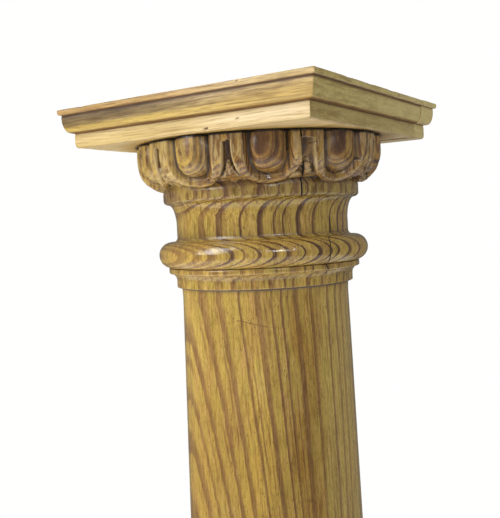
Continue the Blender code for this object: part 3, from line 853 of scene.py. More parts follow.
def upper_column():
    """The neck and the carved face as one grid, with what its surface needs to know."""
    face = echinus_path()
    offsets = carved_offsets(face)
    across = np.tile(offsets, (1, EGG_COUNT))
    unit = np.broadcast_to(np.repeat(np.arange(EGG_COUNT), offsets.shape[1]), across.shape)
    face_radii, face_heights, along = [np.broadcast_to(face[key][:, None], across.shape)
                                       for key in ("radius", "height", "along")]
    carved_angles = unit * 2 * math.pi / EGG_COUNT + across / face_radii
    carved_angles = carved_angles + hand_shift(carved_angles)

    neck = neck_path()
    count = len(neck)
    radii = np.concatenate([neck[:, 0], face["radius"]])
    heights = np.concatenate([neck[:, 1], face["height"]])
    angles = np.vstack([np.tile(carved_angles[0], (count, 1)), carved_angles])
    sunk, cracked = open_cracks(angles, heights, radii)
    places = ring_points(face_radii, angles[count:], face_heights)
    depth, shade, lip = carved_depth(across + ripple(places, ACROSS_WAVES), face_radii * math.pi / EGG_COUNT,
                                     along + ripple(places, ALONG_WAVES), face["length"], unit)
    torn = broken_away(angles[count:], face_heights, places)
    cut = knife_cuts(angles[count:], face_heights, face_radii)
    sunk[count:] += depth + torn * (1 - 0.6 * smooth(0.002, 0.007, depth)) + cut
    surface = ring_points(radii[:, None], angles, heights[:, None])
    uneven = ripple(surface, FACE_WAVES)
    uneven[:count] *= NECK_WAVE_SHARE
    sunk += uneven * smooth(0.0, 0.002, COLUMN_HIGH.z - heights)[:, None]
    out_radius = np.concatenate([np.ones(count), face["out_radius"]])[:, None]
    out_height = np.concatenate([np.zeros(count), face["out_height"]])[:, None]
    points = ring_points(radii[:, None] - sunk * out_radius, angles, heights[:, None] - sunk * out_height)

    # Cavity is dirt with painted shade: in the hollows between mouldings, in the carving's recesses, and in
    # splintered and cut wood
    patches = 0.75 + 0.25 * noise(surface[:count], 0.02, 95)
    broken_shade = np.maximum(0.6 * smooth(0.0004, 0.0022, torn), smooth(0.0, 0.001, cut))
    cavity = np.vstack([hollow_share(radii[:count])[:, None] * patches, np.maximum(shade, broken_shade)])
    on_lip = np.vstack([np.zeros(patches.shape), lip * (1 - smooth(0.0004, 0.0015, torn))])
    return points, cavity, angles, cracked, on_lip


def hollow_share(radii):
    """How deep each point of the turned profile lies between the mouldings beside it, from 0 to 1."""
    reach = 4
    kernel = np.hanning(2 * reach + 3)[1:-1]
    kernel /= kernel.sum()
    padded = np.pad(radii, (reach, reach), mode="edge")
    return smooth(0.0001, 0.0009, np.convolve(padded, kernel, mode="valid") - radii)


def grid_normals(points):
    tangent = np.roll(points, -1, axis=1) - np.roll(points, 1, axis=1)
    normal = np.cross(tangent, np.gradient(points, axis=0))
    return normal / np.maximum(np.linalg.norm(normal, axis=-1, keepdims=True), 1e-12)


def curvature(points):
    """How far each point of a closed grid stands out from its neighbours, along its normal."""
    around = (np.roll(points, 1, axis=1) + np.roll(points, -1, axis=1)) / 2
    above = points.copy()
    above[1:-1] = (points[:-2] + points[2:]) / 2
    return np.sum((points - (around + above) / 2) * grid_normals(points), axis=-1)


def build_column(material):
    points, cavity, angles, cracked, on_lip = upper_column()
    standing = curvature(points)
    rows, columns = points.shape[:2]
    near = cracked + np.roll(cracked, 1, axis=1) + np.roll(cracked, -1, axis=1)
    away = np.where(near > 0, 0.0, 1.0)

    base = base_path()
    shaft = shaft_path(base[-1, 1])
    lower = np.vstack([base, shaft])
    segment_angles = np.arange(SHAFT_SEGMENTS) * 2 * math.pi / SHAFT_SEGMENTS
    lower_points = ring_points(lower[:, :1], segment_angles[None, :], lower[:, 1:])
    hand = ripple(lower_points, SHAFT_WAVES)
    lower_points = ring_points(lower[:, :1] + hand, segment_angles[None, :], lower[:, 1:])
    lower_standing = curvature(lower_points)
    lower_rows = len(lower)

    lower_count = lower_rows * SHAFT_SEGMENTS
    foot = np.array([[0.0, 0.0, COLUMN_LOW.z]])
    crown = np.array([[0.0, 0.0, COLUMN_HIGH.z]])
    everything = np.vstack([lower_points.reshape(-1, 3), points.reshape(-1, 3), foot, crown])
    faces = grid_faces(0, lower_rows, SHAFT_SEGMENTS)
    faces += grid_faces(lower_count, rows, columns)
    last = np.arange(SHAFT_SEGMENTS) + (lower_rows - 1) * SHAFT_SEGMENTS
    first = np.arange(columns) + lower_count
    faces += stitch(last, segment_angles, first, angles[0])
    faces += fan(len(everything) - 2, 0, SHAFT_SEGMENTS, False)
    faces += fan(len(everything) - 1, lower_count + (rows - 1) * columns, columns, True)

    plain = np.zeros(lower_count)
    layers = {"cavity": (plain, cavity), "standing": (lower_standing, standing * away),
              "crack": (plain, cracked), "lip": (plain, on_lip)}
    attributes = {key: np.concatenate([below.ravel(), above.ravel(), np.zeros(2)])
                  for key, (below, above) in layers.items()}
    return make_piece("turned_column", everything, faces, attributes, material)


def plate_edge(profile):
    """The plate's edge from its underside up: fascia, step, ovolo and top fillet."""
    ovolo_foot = FASCIA_HALF_WIDTH + OVOLO_STEP
    ovolo_top = ovolo_foot + OVOLO_PROJECTION
    profile.at(FASCIA_HALF_WIDTH - FASCIA_EASING)
    profile.cove(1.5 * FASCIA_EASING, FASCIA_HALF_WIDTH - FASCIA_EASING, FASCIA_HALF_WIDTH, False)
    profile.rise(FASCIA_HEIGHT - 1.5 * FASCIA_EASING, FASCIA_HALF_WIDTH)
    profile.rise(QUIRK_HEIGHT, FASCIA_HALF_WIDTH - QUIRK_HEIGHT)
    profile.at(ovolo_foot)
    profile.cove(OVOLO_HEIGHT, ovolo_foot, ovolo_top, False)
    profile.rise(QUIRK_HEIGHT, ovolo_top - QUIRK_HEIGHT)
    profile.at(PLATE_HALF_WIDTH)
    profile.rise(BOARD_HIGH.z - profile.height, PLATE_HALF_WIDTH)


def plinth_edge(profile):
    profile.at(PLINTH_HIGH.x)
    profile.rise(PLINTH_HIGH.z - PLINTH_LOW.z, PLINTH_HIGH.x)


def rounded_outline(low_x, high_x, low_y, high_y, counts, radius):
    """Points round a rectangle, its corners eased, starting at the low corner along X."""
    left = low_x + radius
    right = high_x - radius
    front = low_y + radius
    back = high_y - radius
    sides = [((left, low_y), (right, low_y), (right, front), -90),
             ((high_x, front), (high_x, back), (right, back), 0),
             ((right, high_y), (left, high_y), (left, back), 90),
             ((low_x, back), (low_x, front), (left, front), 180)]
    points = []
    for (start, end, corner, turned), count in zip(sides, counts):
        share = np.linspace(0, 1, count)[:, None]
        points.append(np.array(start) * (1 - share) + np.array(end) * share)
        turns = np.radians(turned + np.array([30.0, 60.0]))
        points.append(np.array(corner) + radius * np.column_stack([np.cos(turns), np.sin(turns)]))
    return np.vstack(points)


def square_rings(path, extents, counts, radius):
    """Rings of a square piece: its underside from the middle out, its edge, and its top back in."""
    outline = [np.column_stack([rounded_outline(*extents(half_width), counts, radius),
                                np.full(sum(counts) + 8, height)]) for half_width, height in path]
    rings = np.array(outline)
    middle = rings.mean(axis=(0, 1))
    inward = np.array(CAP_SHARES)
    caps = []
    for ring, shares in ((rings[0], inward[::-1]), (rings[-1], inward)):
        flat = middle[:2] + (ring[:, :2] - middle[:2]) * shares[:, None, None]
        heights = np.broadcast_to(ring[:, 2:], (len(shares), len(ring), 1))
        caps.append(np.concatenate([flat, heights], axis=-1))
    return np.concatenate([caps[0], rings, caps[1]]), middle


def worn_edges(points, amount, size, seed):
    """Sinks the arrises unevenly, as knocks and handling do."""
    standing = curvature(points)
    normal = grid_normals(points)
    knocks = np.clip(noise(points, size, seed) * 1.4 - 0.15, 0.0, 1.0) ** 1.5 + 0.25
    sunk = amount * np.clip(standing / EDGE_STANDING, 0.0, 1.0) * knocks
    return points - normal * sunk[..., None]


def dented(points, shade_and_stain, dents):
    """Presses small pits and chips in, and stains them."""
    for x, y, z, radius, depth, dark in dents:
        centre = np.array([x, y, z])
        apart = np.linalg.norm((points - centre) / np.array(radius), axis=-1)
        normal = grid_normals(points)
        share = 1 - smooth(0.3, 1.0, apart)
        points = points - normal * (share * depth)[..., None]
        shade_and_stain = np.maximum(shade_and_stain, share * dark)
    return points, shade_and_stain


def square_piece(name, foot, edge, extents, dents, material):
    """A piece with the given moulding all round, worn and dented."""
    counts, radius, grain, wear, seed = SQUARES[name]
    profile = TurnedProfile(foot)
    edge(profile)
    path = profile.resampled(PLATE_SPACING, PLATE_ROUNDING)
    points, middle = square_rings(path, extents, counts, radius)
    rows, columns = points.shape[:2]
    body = slice(len(CAP_SHARES) - 1, rows - len(CAP_SHARES) + 1)
    normal = grid_normals(points)
    uneven = ripple(points, [(SAWN_GRAIN_WAVE, grain, seed), (SAWN_WAVE, SAWN_WAVE_SIZE, seed + 1)])
    sides = np.zeros((rows, columns))
    sides[body] = 1.0
    points = points - normal * (np.abs(uneven) * sides)[..., None]
    for share, size, step in KNOCKS:
        points = worn_edges(points, wear * share, size, seed + step)
    shade_and_stain = np.zeros((rows, columns))
    caps = len(CAP_SHARES)
    # Painted shade in the hollows between the mouldings
    shade_and_stain[caps:rows - caps] = 0.8 * hollow_share(path[:, 0])[:, None]
    points, shade_and_stain = dented(points, shade_and_stain, dents)
    standing = curvature(points)
    low = np.array([[middle[0], middle[1], path[0][1]]])
    high = np.array([[middle[0], middle[1], path[-1][1]]])
    everything = np.vstack([points.reshape(-1, 3), low, high])
    faces = grid_faces(0, rows, columns)
    faces += fan(rows * columns, 0, columns, False)
    faces += fan(rows * columns + 1, (rows - 1) * columns, columns, True)
    ends = np.zeros(2)
    attributes = {"cavity": np.concatenate([shade_and_stain.ravel(), ends]),
                  "standing": np.concatenate([standing.ravel(), ends])}
    return make_piece(name, everything, faces, attributes, material)


def build_board(material):
    def extents(half_width):
        return -half_width, half_width, -half_width, BOARD_HIGH.y
    return square_piece("moulded_board", BOARD_LOW.z, plate_edge, extents, BOARD_DENTS, material)


def build_strip(material):
    proud = STRIP_HIGH.x - PLATE_HALF_WIDTH

    def extents(half_width):
        return -half_width - proud, half_width + proud, STRIP_LOW.y, half_width
    return square_piece("back_strip", STRIP_LOW.z, plate_edge, extents, [], material)


def build_plinth(material):
    def extents(half_width):
        return -half_width, half_width, -half_width, half_width
    return square_piece("plinth_block", PLINTH_LOW.z, plinth_edge, extents, [], material)


def joining(operation):
    """A method that joins a node's output to other values by a kind of arithmetic."""
    return lambda self, *others: self.graph.math(operation, self, *others)


class Value:
    """A node's output. Arithmetic with it, and mixing it as a colour, adds nodes to the same graph."""

    __add__ = joining("ADD")
    __sub__ = joining("SUBTRACT")
    __mul__ = joining("MULTIPLY")
    __truediv__ = joining("DIVIDE")
    __abs__ = joining("ABSOLUTE")
    most = joining("MAXIMUM")

    def __init__(self, graph, socket):
        self.graph = graph
        self.socket = socket

    def capped(self, factor):
        """This times the factor, kept between 0 and 1."""
        return self.graph.math("MULTIPLY", self, factor, clamp=True)

    def step(self, low, high, to_low, to_high, course="SMOOTHSTEP"):
        """Changes from one value where this is low to the other where this is high."""
        node = self.graph.node("MapRange")
        node.interpolation_type = course
        self.graph.fill((self, low, high, to_low, to_high), node.inputs)
        return Value(self.graph, node.outputs[0])

    def grow(self, low, high, most=1.0):
        return self.step(low, high, 0.0, most)

    def fade(self, low, high, most=1.0):
        return self.step(low, high, most, 0.0)

    def leave(self, share):
        """1 where this is 0, and only the share where this is 1."""
        return self.step(0.0, 1.0, 1.0, share)

    def mix(self, share, tone):
        return self.graph.mix(self, share, tone)

    def tint(self, share, tone):
        return self.graph.mix(self, share, tone, "MULTIPLY")


class Graph:
    """The nodes of a material or world. Each call adds a node and gives back its output."""

    def __init__(self, owner, noises=None, seed=0.0):
        owner.use_nodes = True
        self.owner = owner
        self.tree = owner.node_tree
        self.noises = noises
        self.seed = seed
        self.coordinates = self.node("TexCoord").outputs

    def node(self, kind):
        return self.tree.nodes.new("ShaderNode" + kind)

    def coordinate(self, name):
        return Value(self, self.coordinates[name])

    def put(self, value, socket):
        if isinstance(value, Value):
            self.tree.links.new(value.socket, socket)
        else:
            socket.default_value = value

    def fill(self, values, sockets):
        for value, socket in zip(values, sockets):
            self.put(value, socket)

    def set(self, name, value):
        """Gives an input of the material's shader its value."""
        self.put(value, self.tree.nodes["Principled BSDF"].inputs[name])

    def math(self, operation, *values, clamp=False):
        node = self.node("Math")
        node.operation = operation
        node.use_clamp = clamp
        self.fill(values, node.inputs)
        return Value(self, node.outputs[0])

    def vector_math(self, operation, *values):
        node = self.node("VectorMath")
        node.operation = operation
        self.fill(values, node.inputs)
        return Value(self, node.outputs["Value"])

    def split(self, vector):
        node = self.node("SeparateXYZ")
        self.put(vector, node.inputs[0])
        return [Value(self, socket) for socket in node.outputs]

    def length_of(self, x, y, z):
        node = self.node("CombineXYZ")
        self.fill((x, y, z), node.inputs)
        return self.vector_math("LENGTH", Value(self, node.outputs[0]))

    def noise(self, name):
        """Noise from 0 to 1, stretched as the graph's table says."""
        *size, detail, roughness, shift = self.noises[name]
        shift += self.seed
        stretch = self.node("Mapping")
        self.put(self.coordinate("Object"), stretch.inputs["Vector"])
        self.put((shift, shift * 0.7, shift * 1.3), stretch.inputs["Location"])
        self.put([1 / length for length in size], stretch.inputs["Scale"])
        node = self.node("TexNoise")
        self.put(Value(self, stretch.outputs[0]), node.inputs["Vector"])
        for key, value in (("Scale", 1.0), ("Detail", detail), ("Roughness", roughness)):
            self.put(value, node.inputs[key])
        return Value(self, node.outputs["Fac"])

    def attribute(self, name):
        node = self.node("Attribute")
        node.attribute_name = name
        return Value(self, node.outputs["Fac"])

    def ramp(self, value, stops):
        """A colour, or a grey where a stop has a single number, between (place, colour) stops."""
        node = self.node("ValToRGB")
        self.put(value, node.inputs[0])
        elements = node.color_ramp.elements
        elements.remove(elements[1])
        elements[0].position = stops[0][0]
        for index, (place, colour) in enumerate(stops):
            element = elements.new(place) if index else elements[0]
            element.color = (*np.broadcast_to(colour, 3).tolist(), 1.0)
        return Value(self, node.outputs[0])

    def mix(self, first, share, second, kind="MIX"):
        """The first colour, changed to or multiplied by the second by a share."""
        node = self.node("Mix")
        node.data_type = "RGBA"
        node.blend_type = kind
        self.put(share, node.inputs[0])
        sockets = [socket for socket in node.inputs if socket.type == "RGBA"]
        for colour, socket in zip((first, second), sockets):
            self.put(colour if isinstance(colour, Value) else (*colour, 1.0), socket)
        return Value(self, [socket for socket in node.outputs if socket.type == "RGBA"][0])

    def bump(self, height, distance):
        node = self.node("Bump")
        self.put(distance, node.inputs["Distance"])
        self.put(height, node.inputs["Height"])
        self.set("Normal", Value(self, node.outputs[0]))


def stroke(angle, z, first, last, half_width):
    """1 on a thin line down the column between two (degrees, height) ends, 0 away from it."""
    (first_degrees, first_height), (last_degrees, last_height) = first, last
    x = (angle - math.radians(first_degrees)) * SHAFT_TOP_RADIUS
    rise = z - first_height
    width = SHAFT_TOP_RADIUS * math.radians(last_degrees - first_degrees)
    along = Vector((width, last_height - first_height))
    ahead = along.normalized()
    line = abs(x * ahead.y - rise * ahead.x).fade(0.3 * half_width, half_width)
    past = abs(x * ahead.x + rise * ahead.y - along.length / 2)
    return line * past.fade(0.4 * along.length, 0.5 * along.length)


def ring_stripes(distance, rings):
    """Latewood from 0 to 1 across one stretch of growth rings: (distance, half width, darkness)."""
    start = rings[0][0] - rings[0][1] - RING_MARGIN
    span = rings[-1][0] + rings[-1][1] + RING_MARGIN - start
    stops = [(0.0, 0.0)]
    for middle, half_width, darkness in rings:
        edges = [(middle - 1.5 * half_width - LATE_SOFTNESS, 0.0), (middle - half_width, 0.8 * darkness),
                 (middle + 0.8 * half_width, darkness), (middle + half_width + 0.3 * LATE_SOFTNESS, 0.0)]
        stops += [((place - start) / span, dark) for place, dark in edges]
    return distance.graph.ramp((distance - start) / span, stops)


def column_rings():
    """The growth rings read from the shaft, and evenly spaced ones towards the pith and the bark."""
    inner = [(SHAFT_RINGS[0][0] - INNER_RING_STEP * index, RING_HALF_WIDTH, INNER_RING_DARKNESS)
             for index in range(INNER_RINGS, 0, -1)]
    outer = [(OUTER_RING_START + OUTER_RING_STEP * index, RING_HALF_WIDTH, OUTER_RING_DARKNESS)
             for index in range(OUTER_RINGS)]
    return inner + SHAFT_RINGS + outer


class ColumnPlace:
    """Where a point lies on the column: its height, side of the light and part of the carving."""

    def __init__(self, graph):
        self.x, self.y, self.z = graph.split(graph.coordinate("Object"))
        self.rise = self.z - SHAFT_TOP
        self.across = self.x * math.cos(SUNNED_TURN) + self.y * math.sin(SUNNED_TURN)
        self.shaded = self.across.grow(*SHADED_ACROSS)
        self.in_capital = self.z.grow(*[ECHINUS_FOOT + edge for edge in CAPITAL_EDGE])
        self.on_lip = graph.attribute("lip")


def pith_distance(graph, at):
    """Distance from the log's pith, which leans, bends and sways with height."""
    bent = graph.math("SMOOTH_MAX", at.rise, PITH_STRAIGHT_BELOW, PITH_BEND_EASE)
    bent = graph.math("POWER", bent, 2.0)
    offsets = []
    for across, (start, lean, bend), sway in ((at.x, PITH_X, "sway_x"), (at.y, PITH_Y, "sway_y")):
        pith = at.rise * lean + bent * bend + start
        offsets.append(across - pith + (graph.noise(sway) - 0.5) * PITH_SWAY)
    fray = (graph.noise("fray") - 0.5) * RING_FRAY * at.in_capital.leave(CARVED_FRAY)
    return graph.length_of(*offsets, 0.0) + fray


def column_late(graph, at, distance):
    """How dark the growth rings are, from 0 to 1."""
    rings = column_rings()
    late = ring_stripes(distance, rings[:RINGS_PER_RAMP])
    for first in range(RINGS_PER_RAMP, len(rings), RINGS_PER_RAMP):
        late = late.most(ring_stripes(distance, rings[first:first + RINGS_PER_RAMP]))
    contrast = graph.ramp(at.rise / NECK_HEIGHT, STRIPES_BY_HEIGHT) * NECK_CONTRAST
    bleached = at.rise.step(*FILLET_BLEACH, 0.85, 0.45).most(at.rise.grow(*COVE_BLEACH, 0.95))
    contrast = contrast * at.shaded.step(0.0, 1.0, bleached, 1.0)
    late = (late * graph.noise("fading").step(0.25, 0.7, 0.62, 1.0)).capped(contrast)
    late = late.capped(at.in_capital.leave(EGG_CONTRAST))
    fine = graph.math("SINE", distance * (2 * math.pi / FINE_RING_STEP))
    fine_share = graph.noise("fine_rings").grow(0.4, 0.7, FINE_RING_SHARE)
    return late.most(fine.grow(0.2, 1.0) * fine_share.most(at.in_capital * CARVED_RING_SHARE))


def column_grain(graph, at, late, fibre):
    """The wood's colour: earlywood and latewood, fibres, resin ducts and turning marks."""
    colour = graph.ramp(graph.noise("broad"), EARLYWOOD)
    colour = colour.mix(graph.noise("russet").grow(0.50, 0.66, 0.45), PINE_RUSSET)
    tint = graph.noise("tint")
    colour = colour.mix(tint.grow(0.54, 0.68, 0.6), PINE_GREEN)
    colour = colour.mix(tint.fade(0.34, 0.46, 0.5), PINE_PINK)
    colour = colour.mix(late.grow(0.0, 0.5, 0.5), PINE_RUSSET)
    colour = colour.mix(late, LATEWOOD)
    deep = at.rise.grow(0.0, 0.006, 0.65) * at.shaded.grow(0.3, 1.0)
    deep = deep * at.rise.step(NECK_HEIGHT - 0.012, NECK_HEIGHT - 0.006, 1.0, 0.35)
    in_eggs = at.in_capital * at.shaded.step(0.0, 0.6, 0.3, CARVED_DEPTH) * at.on_lip.leave(0.35)
    colour = colour.mix(late.grow(0.4, 1.0) * deep.most(in_eggs), NECK_LATEWOOD)
    colour = colour.tint(fibre.grow(0.50, 0.68, 0.70) * at.in_capital.leave(CARVED_FRAY), FIBRE_DARK)
    colour = colour.mix(fibre.fade(0.30, 0.44, 0.40), PINE_PALE)
    colour = colour.tint(graph.noise("thread").grow(0.54, 0.68, 0.75), FIBRE_DARK)
    duct_zone = graph.noise("duct_zone").step(0.42, 0.60, 0.30, 1.0)
    colour = colour.mix(graph.noise("ducts").grow(0.62, 0.72, 0.85) * duct_zone, DUCT_AND_SHADE_BROWN)
    return colour.tint(graph.noise("turning").grow(0.60, 0.72, 0.22), FIBRE_DARK)


def column_age(graph, at, colour):
    """Zones darkened or paled on the shaft, neck and band, with painted shade on the neck's side towards the
    light.
    """
    on_shaft = at.rise.fade(*SHAFT_EDGE)
    waver = graph.noise("waver")
    wavered = at.across + (waver - 0.5) * ZONE_WAVER
    # Darker on the shaft's lower part, on its sunned side
    lower_left_tone = at.rise.fade(*LOWER_LEFT_RISE, 0.95) * wavered.fade(*LOWER_LEFT_ACROSS)
    colour = colour.tint(lower_left_tone, SHAFT_DEPTH)
    brown = abs(wavered - BROWN_BAND).fade(*BROWN_ACROSS) * waver.step(0.35, 0.60, 0.3, 0.9)
    colour = colour.tint(brown * on_shaft, BAND_BROWN)
    colour = colour.mix(wavered.grow(*PALE_ACROSS, 0.12) * on_shaft, GREEN_PALE)
    on_neck = at.rise.grow(*NECK_FOOT) * at.rise.fade(*NECK_TOP)
    # Painted shade: the neck darkened on its side towards the light
    colour = colour.tint(on_neck * at.shaded.fade(0.10, 0.75), NECK_LIT_SIDE_SHADE)
    on_band = at.rise.grow(NECK_HEIGHT - 0.0105, NECK_HEIGHT - 0.0085)
    colour = colour.tint(on_band * at.in_capital.leave(0.0), BAND_AGE)
    return colour.tint(graph.noise("speckle").grow(0.48, 0.62, 0.80), SPECKLE)


def column_patina(graph, at, colour, mottle, cavity):
    """Blotches, the capital's dark wax and its crowns painted golden on the side towards the light, its
    olive lips, dirt with painted shade in hollows and creases, and rubbed arrises.
    """
    zone = graph.ramp(at.rise / NECK_HEIGHT, BLOTCHES_BY_HEIGHT) * at.in_capital.leave(CARVED_BLOTCH)
    colour = colour.tint(graph.noise("blotch").grow(0.50, 0.64) * zone, BLOTCH)
    patina = at.in_capital * mottle.step(0.2, 0.8, 0.55, 1.0) * at.shaded.step(0.0, 1.0, 0.25, 1.0)
    colour = colour.tint(patina, CAPITAL_PATINA)
    # Painted light: the capital's crowns turn golden on the side towards the light
    lit_crowns = at.shaded.fade(0.10, 0.65) * at.in_capital * mottle.grow(0.35, 0.6)
    colour = colour.mix(lit_crowns * 0.55, LIT_CROWN_GOLD)
    olive_share = at.on_lip * graph.noise("streaks").step(0.38, 0.58, 0.80, 0.05)
    upper = at.z.step(ECHINUS_FOOT + 0.002, ECHINUS_FOOT + 0.018, 0.25, 1.0) * at.shaded.leave(0.75)
    colour = colour.mix(olive_share * upper, LIP_OLIVE)
    # Dirt and painted shade in the hollows between mouldings and in the carving's recesses
    colour = colour.mix(cavity * mottle.step(0.25, 0.75, 0.60, 1.0), SHADE_AND_DIRT_BROWN)
    standing = graph.attribute("standing")
    # Dirt and painted shade in concave creases
    colour = colour.mix(standing.fade(-0.00045, -0.00003, 0.75), SHADE_AND_DIRT_BROWN)
    rubbed = standing.grow(0.00008, 0.0004, 0.40) * cavity.step(0.15, 0.6, 1.0, 0.12)
    return colour.mix(rubbed, RUBBED_EDGE)


def column_wood():
    graph = Graph(bpy.data.materials.new("column_pine"), COLUMN_NOISE)
    at = ColumnPlace(graph)
    late = column_late(graph, at, pith_distance(graph, at))
    fibre = graph.noise("fibre")
    mottle = graph.noise("mottle")
    cavity = graph.attribute("cavity")
    colour = column_grain(graph, at, late, fibre)
    colour = column_age(graph, at, colour)
    colour = column_patina(graph, at, colour, mottle, cavity)
    # Painted shadow: a dark line where the lowest fillet's ledge shades the shaft's top
    painted_fillet_shadow = abs(at.rise).fade(0.2 * FILLET_SHADOW, FILLET_SHADOW, 0.85)
    colour = colour.mix(painted_fillet_shadow, SHADE_AND_DIRT_BROWN)
    # Painted shadow: a black line along the column's top, in the joint under the plate
    painted_joint_shadow = at.z.grow(COLUMN_HIGH.z - JOINT_SHADOW, COLUMN_HIGH.z - 0.4 * JOINT_SHADOW)
    colour = colour.mix(painted_joint_shadow, SHADOW_BLACK)
    # Painted shade: the cracks are coloured black, as their depth would shade them
    crack = graph.attribute("crack")
    colour = colour.mix(crack, SHADOW_BLACK)
    angle = graph.math("ARCTAN2", at.x, at.y * -1.0)
    dashes = graph.noise("dashes").grow(0.46, 0.56)
    for first, last, half_width, strength, dashed in COLUMN_MARKS:
        mark = stroke(angle, at.z, first, last, half_width)
        if dashed:
            mark = mark * dashes
        colour = colour.mix(mark * strength, DUCT_AND_SHADE_BROWN)
    graph.set("Base Color", colour)

    dull = at.in_capital * at.on_lip.fade(0.0, 1.0, CARVED_DULLNESS)
    rough = fibre * 0.10 + mottle * 0.10 + dull + WAX_ROUGHNESS + cavity * 0.4
    graph.set("Roughness", rough.most(crack * 0.9).most(painted_fillet_shadow))
    graph.set("IOR", WAX_IOR)
    graph.bump(late * 0.5 + fibre * 0.6 + mottle * 0.4, COLUMN_GRAIN_DEPTH)
    return graph.owner


def plate_age(graph, colour, x, level):
    """Old wax and grime on the plate's mouldings, heavier towards its left end, with painted shadow lines at
    the ovolo's foot and under the top fillet.
    """
    waver = graph.noise("waver") - 0.5
    height = level + waver * 0.06
    along = x + waver * 0.08
    rightward = along.grow(-0.5 * PLATE_HALF_WIDTH, PLATE_HALF_WIDTH)
    age = graph.ramp(height, AGE_LEFT).mix(rightward, graph.ramp(height, AGE_RIGHT))
    colour = colour.tint(1.0, age).tint(1.0, graph.ramp(level, PLATE_SHADOW_LINES))
    grime = graph.noise("cloud").grow(0.40, 0.64) * graph.ramp(height, GRIME_BY_HEIGHT)
    return colour.tint(grime, GRIME)


def board_end(graph, y, level, mottle, tone, aged):
    """The colour of the end grain, before its growth rings."""
    colour = graph.mix(tone, mottle.grow(0.3, 0.7, 0.55), BOARD_END_PALE)
    colour = colour.tint(graph.noise("blot").grow(0.44, 0.62, 0.80), END_GRIME)
    colour = colour.mix(y.grow(-0.10, 0.10, 0.65), BOARD_END_PALE)
    if aged:
        # The painted shadow lines on the end grain too
        colour = colour.tint(0.8, graph.ramp(level, PLATE_SHADOW_LINES))
        colour = colour.tint(level.fade(0.34, 0.42), END_FASCIA)
    return colour.mix(graph.noise("scratches").grow(0.66, 0.74, 0.35), SCRATCHED)


def sawn_wood(name, aged=False):
    """Pine sawn lengthwise along X: streaks on its long faces and ring arcs on its ends."""
    pith_y, pith_z, spacing, tones, end_tone, late_share, seed = SAWN[name]
    graph = Graph(bpy.data.materials.new(name), BOARD_NOISE, seed)
    x, y, z = graph.split(graph.coordinate("Object"))
    level = (z - BOARD_LOW.z) / (BOARD_HIGH.z - BOARD_LOW.z)
    sway = graph.noise("sway")
    streak = graph.noise("streak")
    distance = graph.length_of(0.0, y - pith_y, z - pith_z) + sway * 0.012
    saw = graph.math("FRACT", distance / spacing + sway * 1.7)
    late = saw.grow(0.35, 0.86) * saw.fade(0.90, 1.0)
    late = late * streak.step(0.3, 0.7, late_share * 0.5, late_share)
    colour = graph.ramp(graph.noise("broad"), list(zip((0.32, 0.50, 0.68), tones)))
    colour = colour.mix(late, BOARD_LATE)
    colour = colour.tint(streak.grow(0.52, 0.70, 0.55), FIBRE_DARK)
    colour = colour.tint(graph.noise("thread").grow(0.54, 0.68, 0.70), FIBRE_DARK)
    if aged:
        colour = plate_age(graph, colour, x, level)

    facing = abs(graph.split(graph.coordinate("Normal"))[0])
    mottle = graph.noise("mottle")
    grit = graph.noise("grit")
    end = board_end(graph, y, level, mottle, end_tone, aged)
    end = end.mix(late * 0.6, BOARD_LATE)
    end = end.tint(grit.grow(0.5, 0.75, 0.35), FIBRE_DARK)
    colour = colour.mix(facing.grow(0.55, 0.85), end)

    standing = graph.attribute("standing")
    # Dirt and painted shade in concave creases
    colour = colour.mix(standing.fade(-0.00035, -0.00002, 0.8), SHADE_AND_DIRT_BROWN)
    colour = colour.mix(standing.grow(0.00010, 0.0004, 0.35), BOARD_RUBBED)
    # Painted shade in the mouldings' hollows, and the dents' stains
    colour = colour.mix(graph.attribute("cavity"), DUCT_AND_SHADE_BROWN)
    from_axis = graph.length_of(x, y, 0.0)
    # Painted shade and reflected wood colour on the underside near the column
    underside = z.fade(BOARD_LOW.z + 0.0002, BOARD_LOW.z + 0.0008)
    olive_share = from_axis.fade(ECHINUS_RADIUS, ECHINUS_RADIUS + 0.022, 0.9)
    colour = colour.tint(olive_share * underside, UNDERSIDE_SHADE)
    # Painted shadow on the plate's underside at its joint with the column
    near_joint = from_axis.fade(ECHINUS_RADIUS - 0.0005, ECHINUS_RADIUS + 0.0030, 0.9)
    in_joint = z.fade(BOARD_LOW.z + 0.0002, BOARD_LOW.z + 0.0006)
    colour = colour.mix(near_joint * in_joint, SHADE_AND_DIRT_BROWN)
    graph.set("Base Color", colour)
    graph.set("Roughness", streak * 0.2 + mottle * 0.15 + BOARD_ROUGHNESS)
    graph.bump(streak * 0.8 + grit * 0.3 + mottle * 0.3, BOARD_GRAIN_DEPTH)
    return graph.owner


def floor():
    """A pale disc below the photograph's view. Its edge glows, so that it fades into the backdrop."""
    mesh = bpy.data.meshes.new("studio_floor")
    turns = np.arange(FLOOR_SEGMENTS) * 2 * math.pi / FLOOR_SEGMENTS
    level = np.full(FLOOR_SEGMENTS, -FLOOR_DROP)
    rim = np.column_stack([FLOOR_RADIUS * np.cos(turns), FLOOR_RADIUS * np.sin(turns), level])
    mesh.from_pydata(rim.tolist(), [], [list(range(FLOOR_SEGMENTS))])
    graph = Graph(bpy.data.materials.new("studio_floor"), FLOOR_NOISE)
    graph.set("Base Color", graph.ramp(graph.noise("grain"), FLOOR_TONES))
    graph.set("Roughness", FLOOR_ROUGHNESS)
    graph.set("Emission Color", (1.0, 1.0, 1.0, 1.0))
    outward = graph.vector_math("LENGTH", graph.coordinate("Object"))
    glow = outward.grow(FLOOR_PLAIN_SHARE * FLOOR_RADIUS, FLOOR_RADIUS, FLOOR_EDGE_GLOW)
    graph.set("Emission Strength", glow)
    mesh.materials.append(graph.owner)
    disc = bpy.data.objects.new("studio_floor", mesh)
    bpy.context.scene.collection.objects.link(disc)


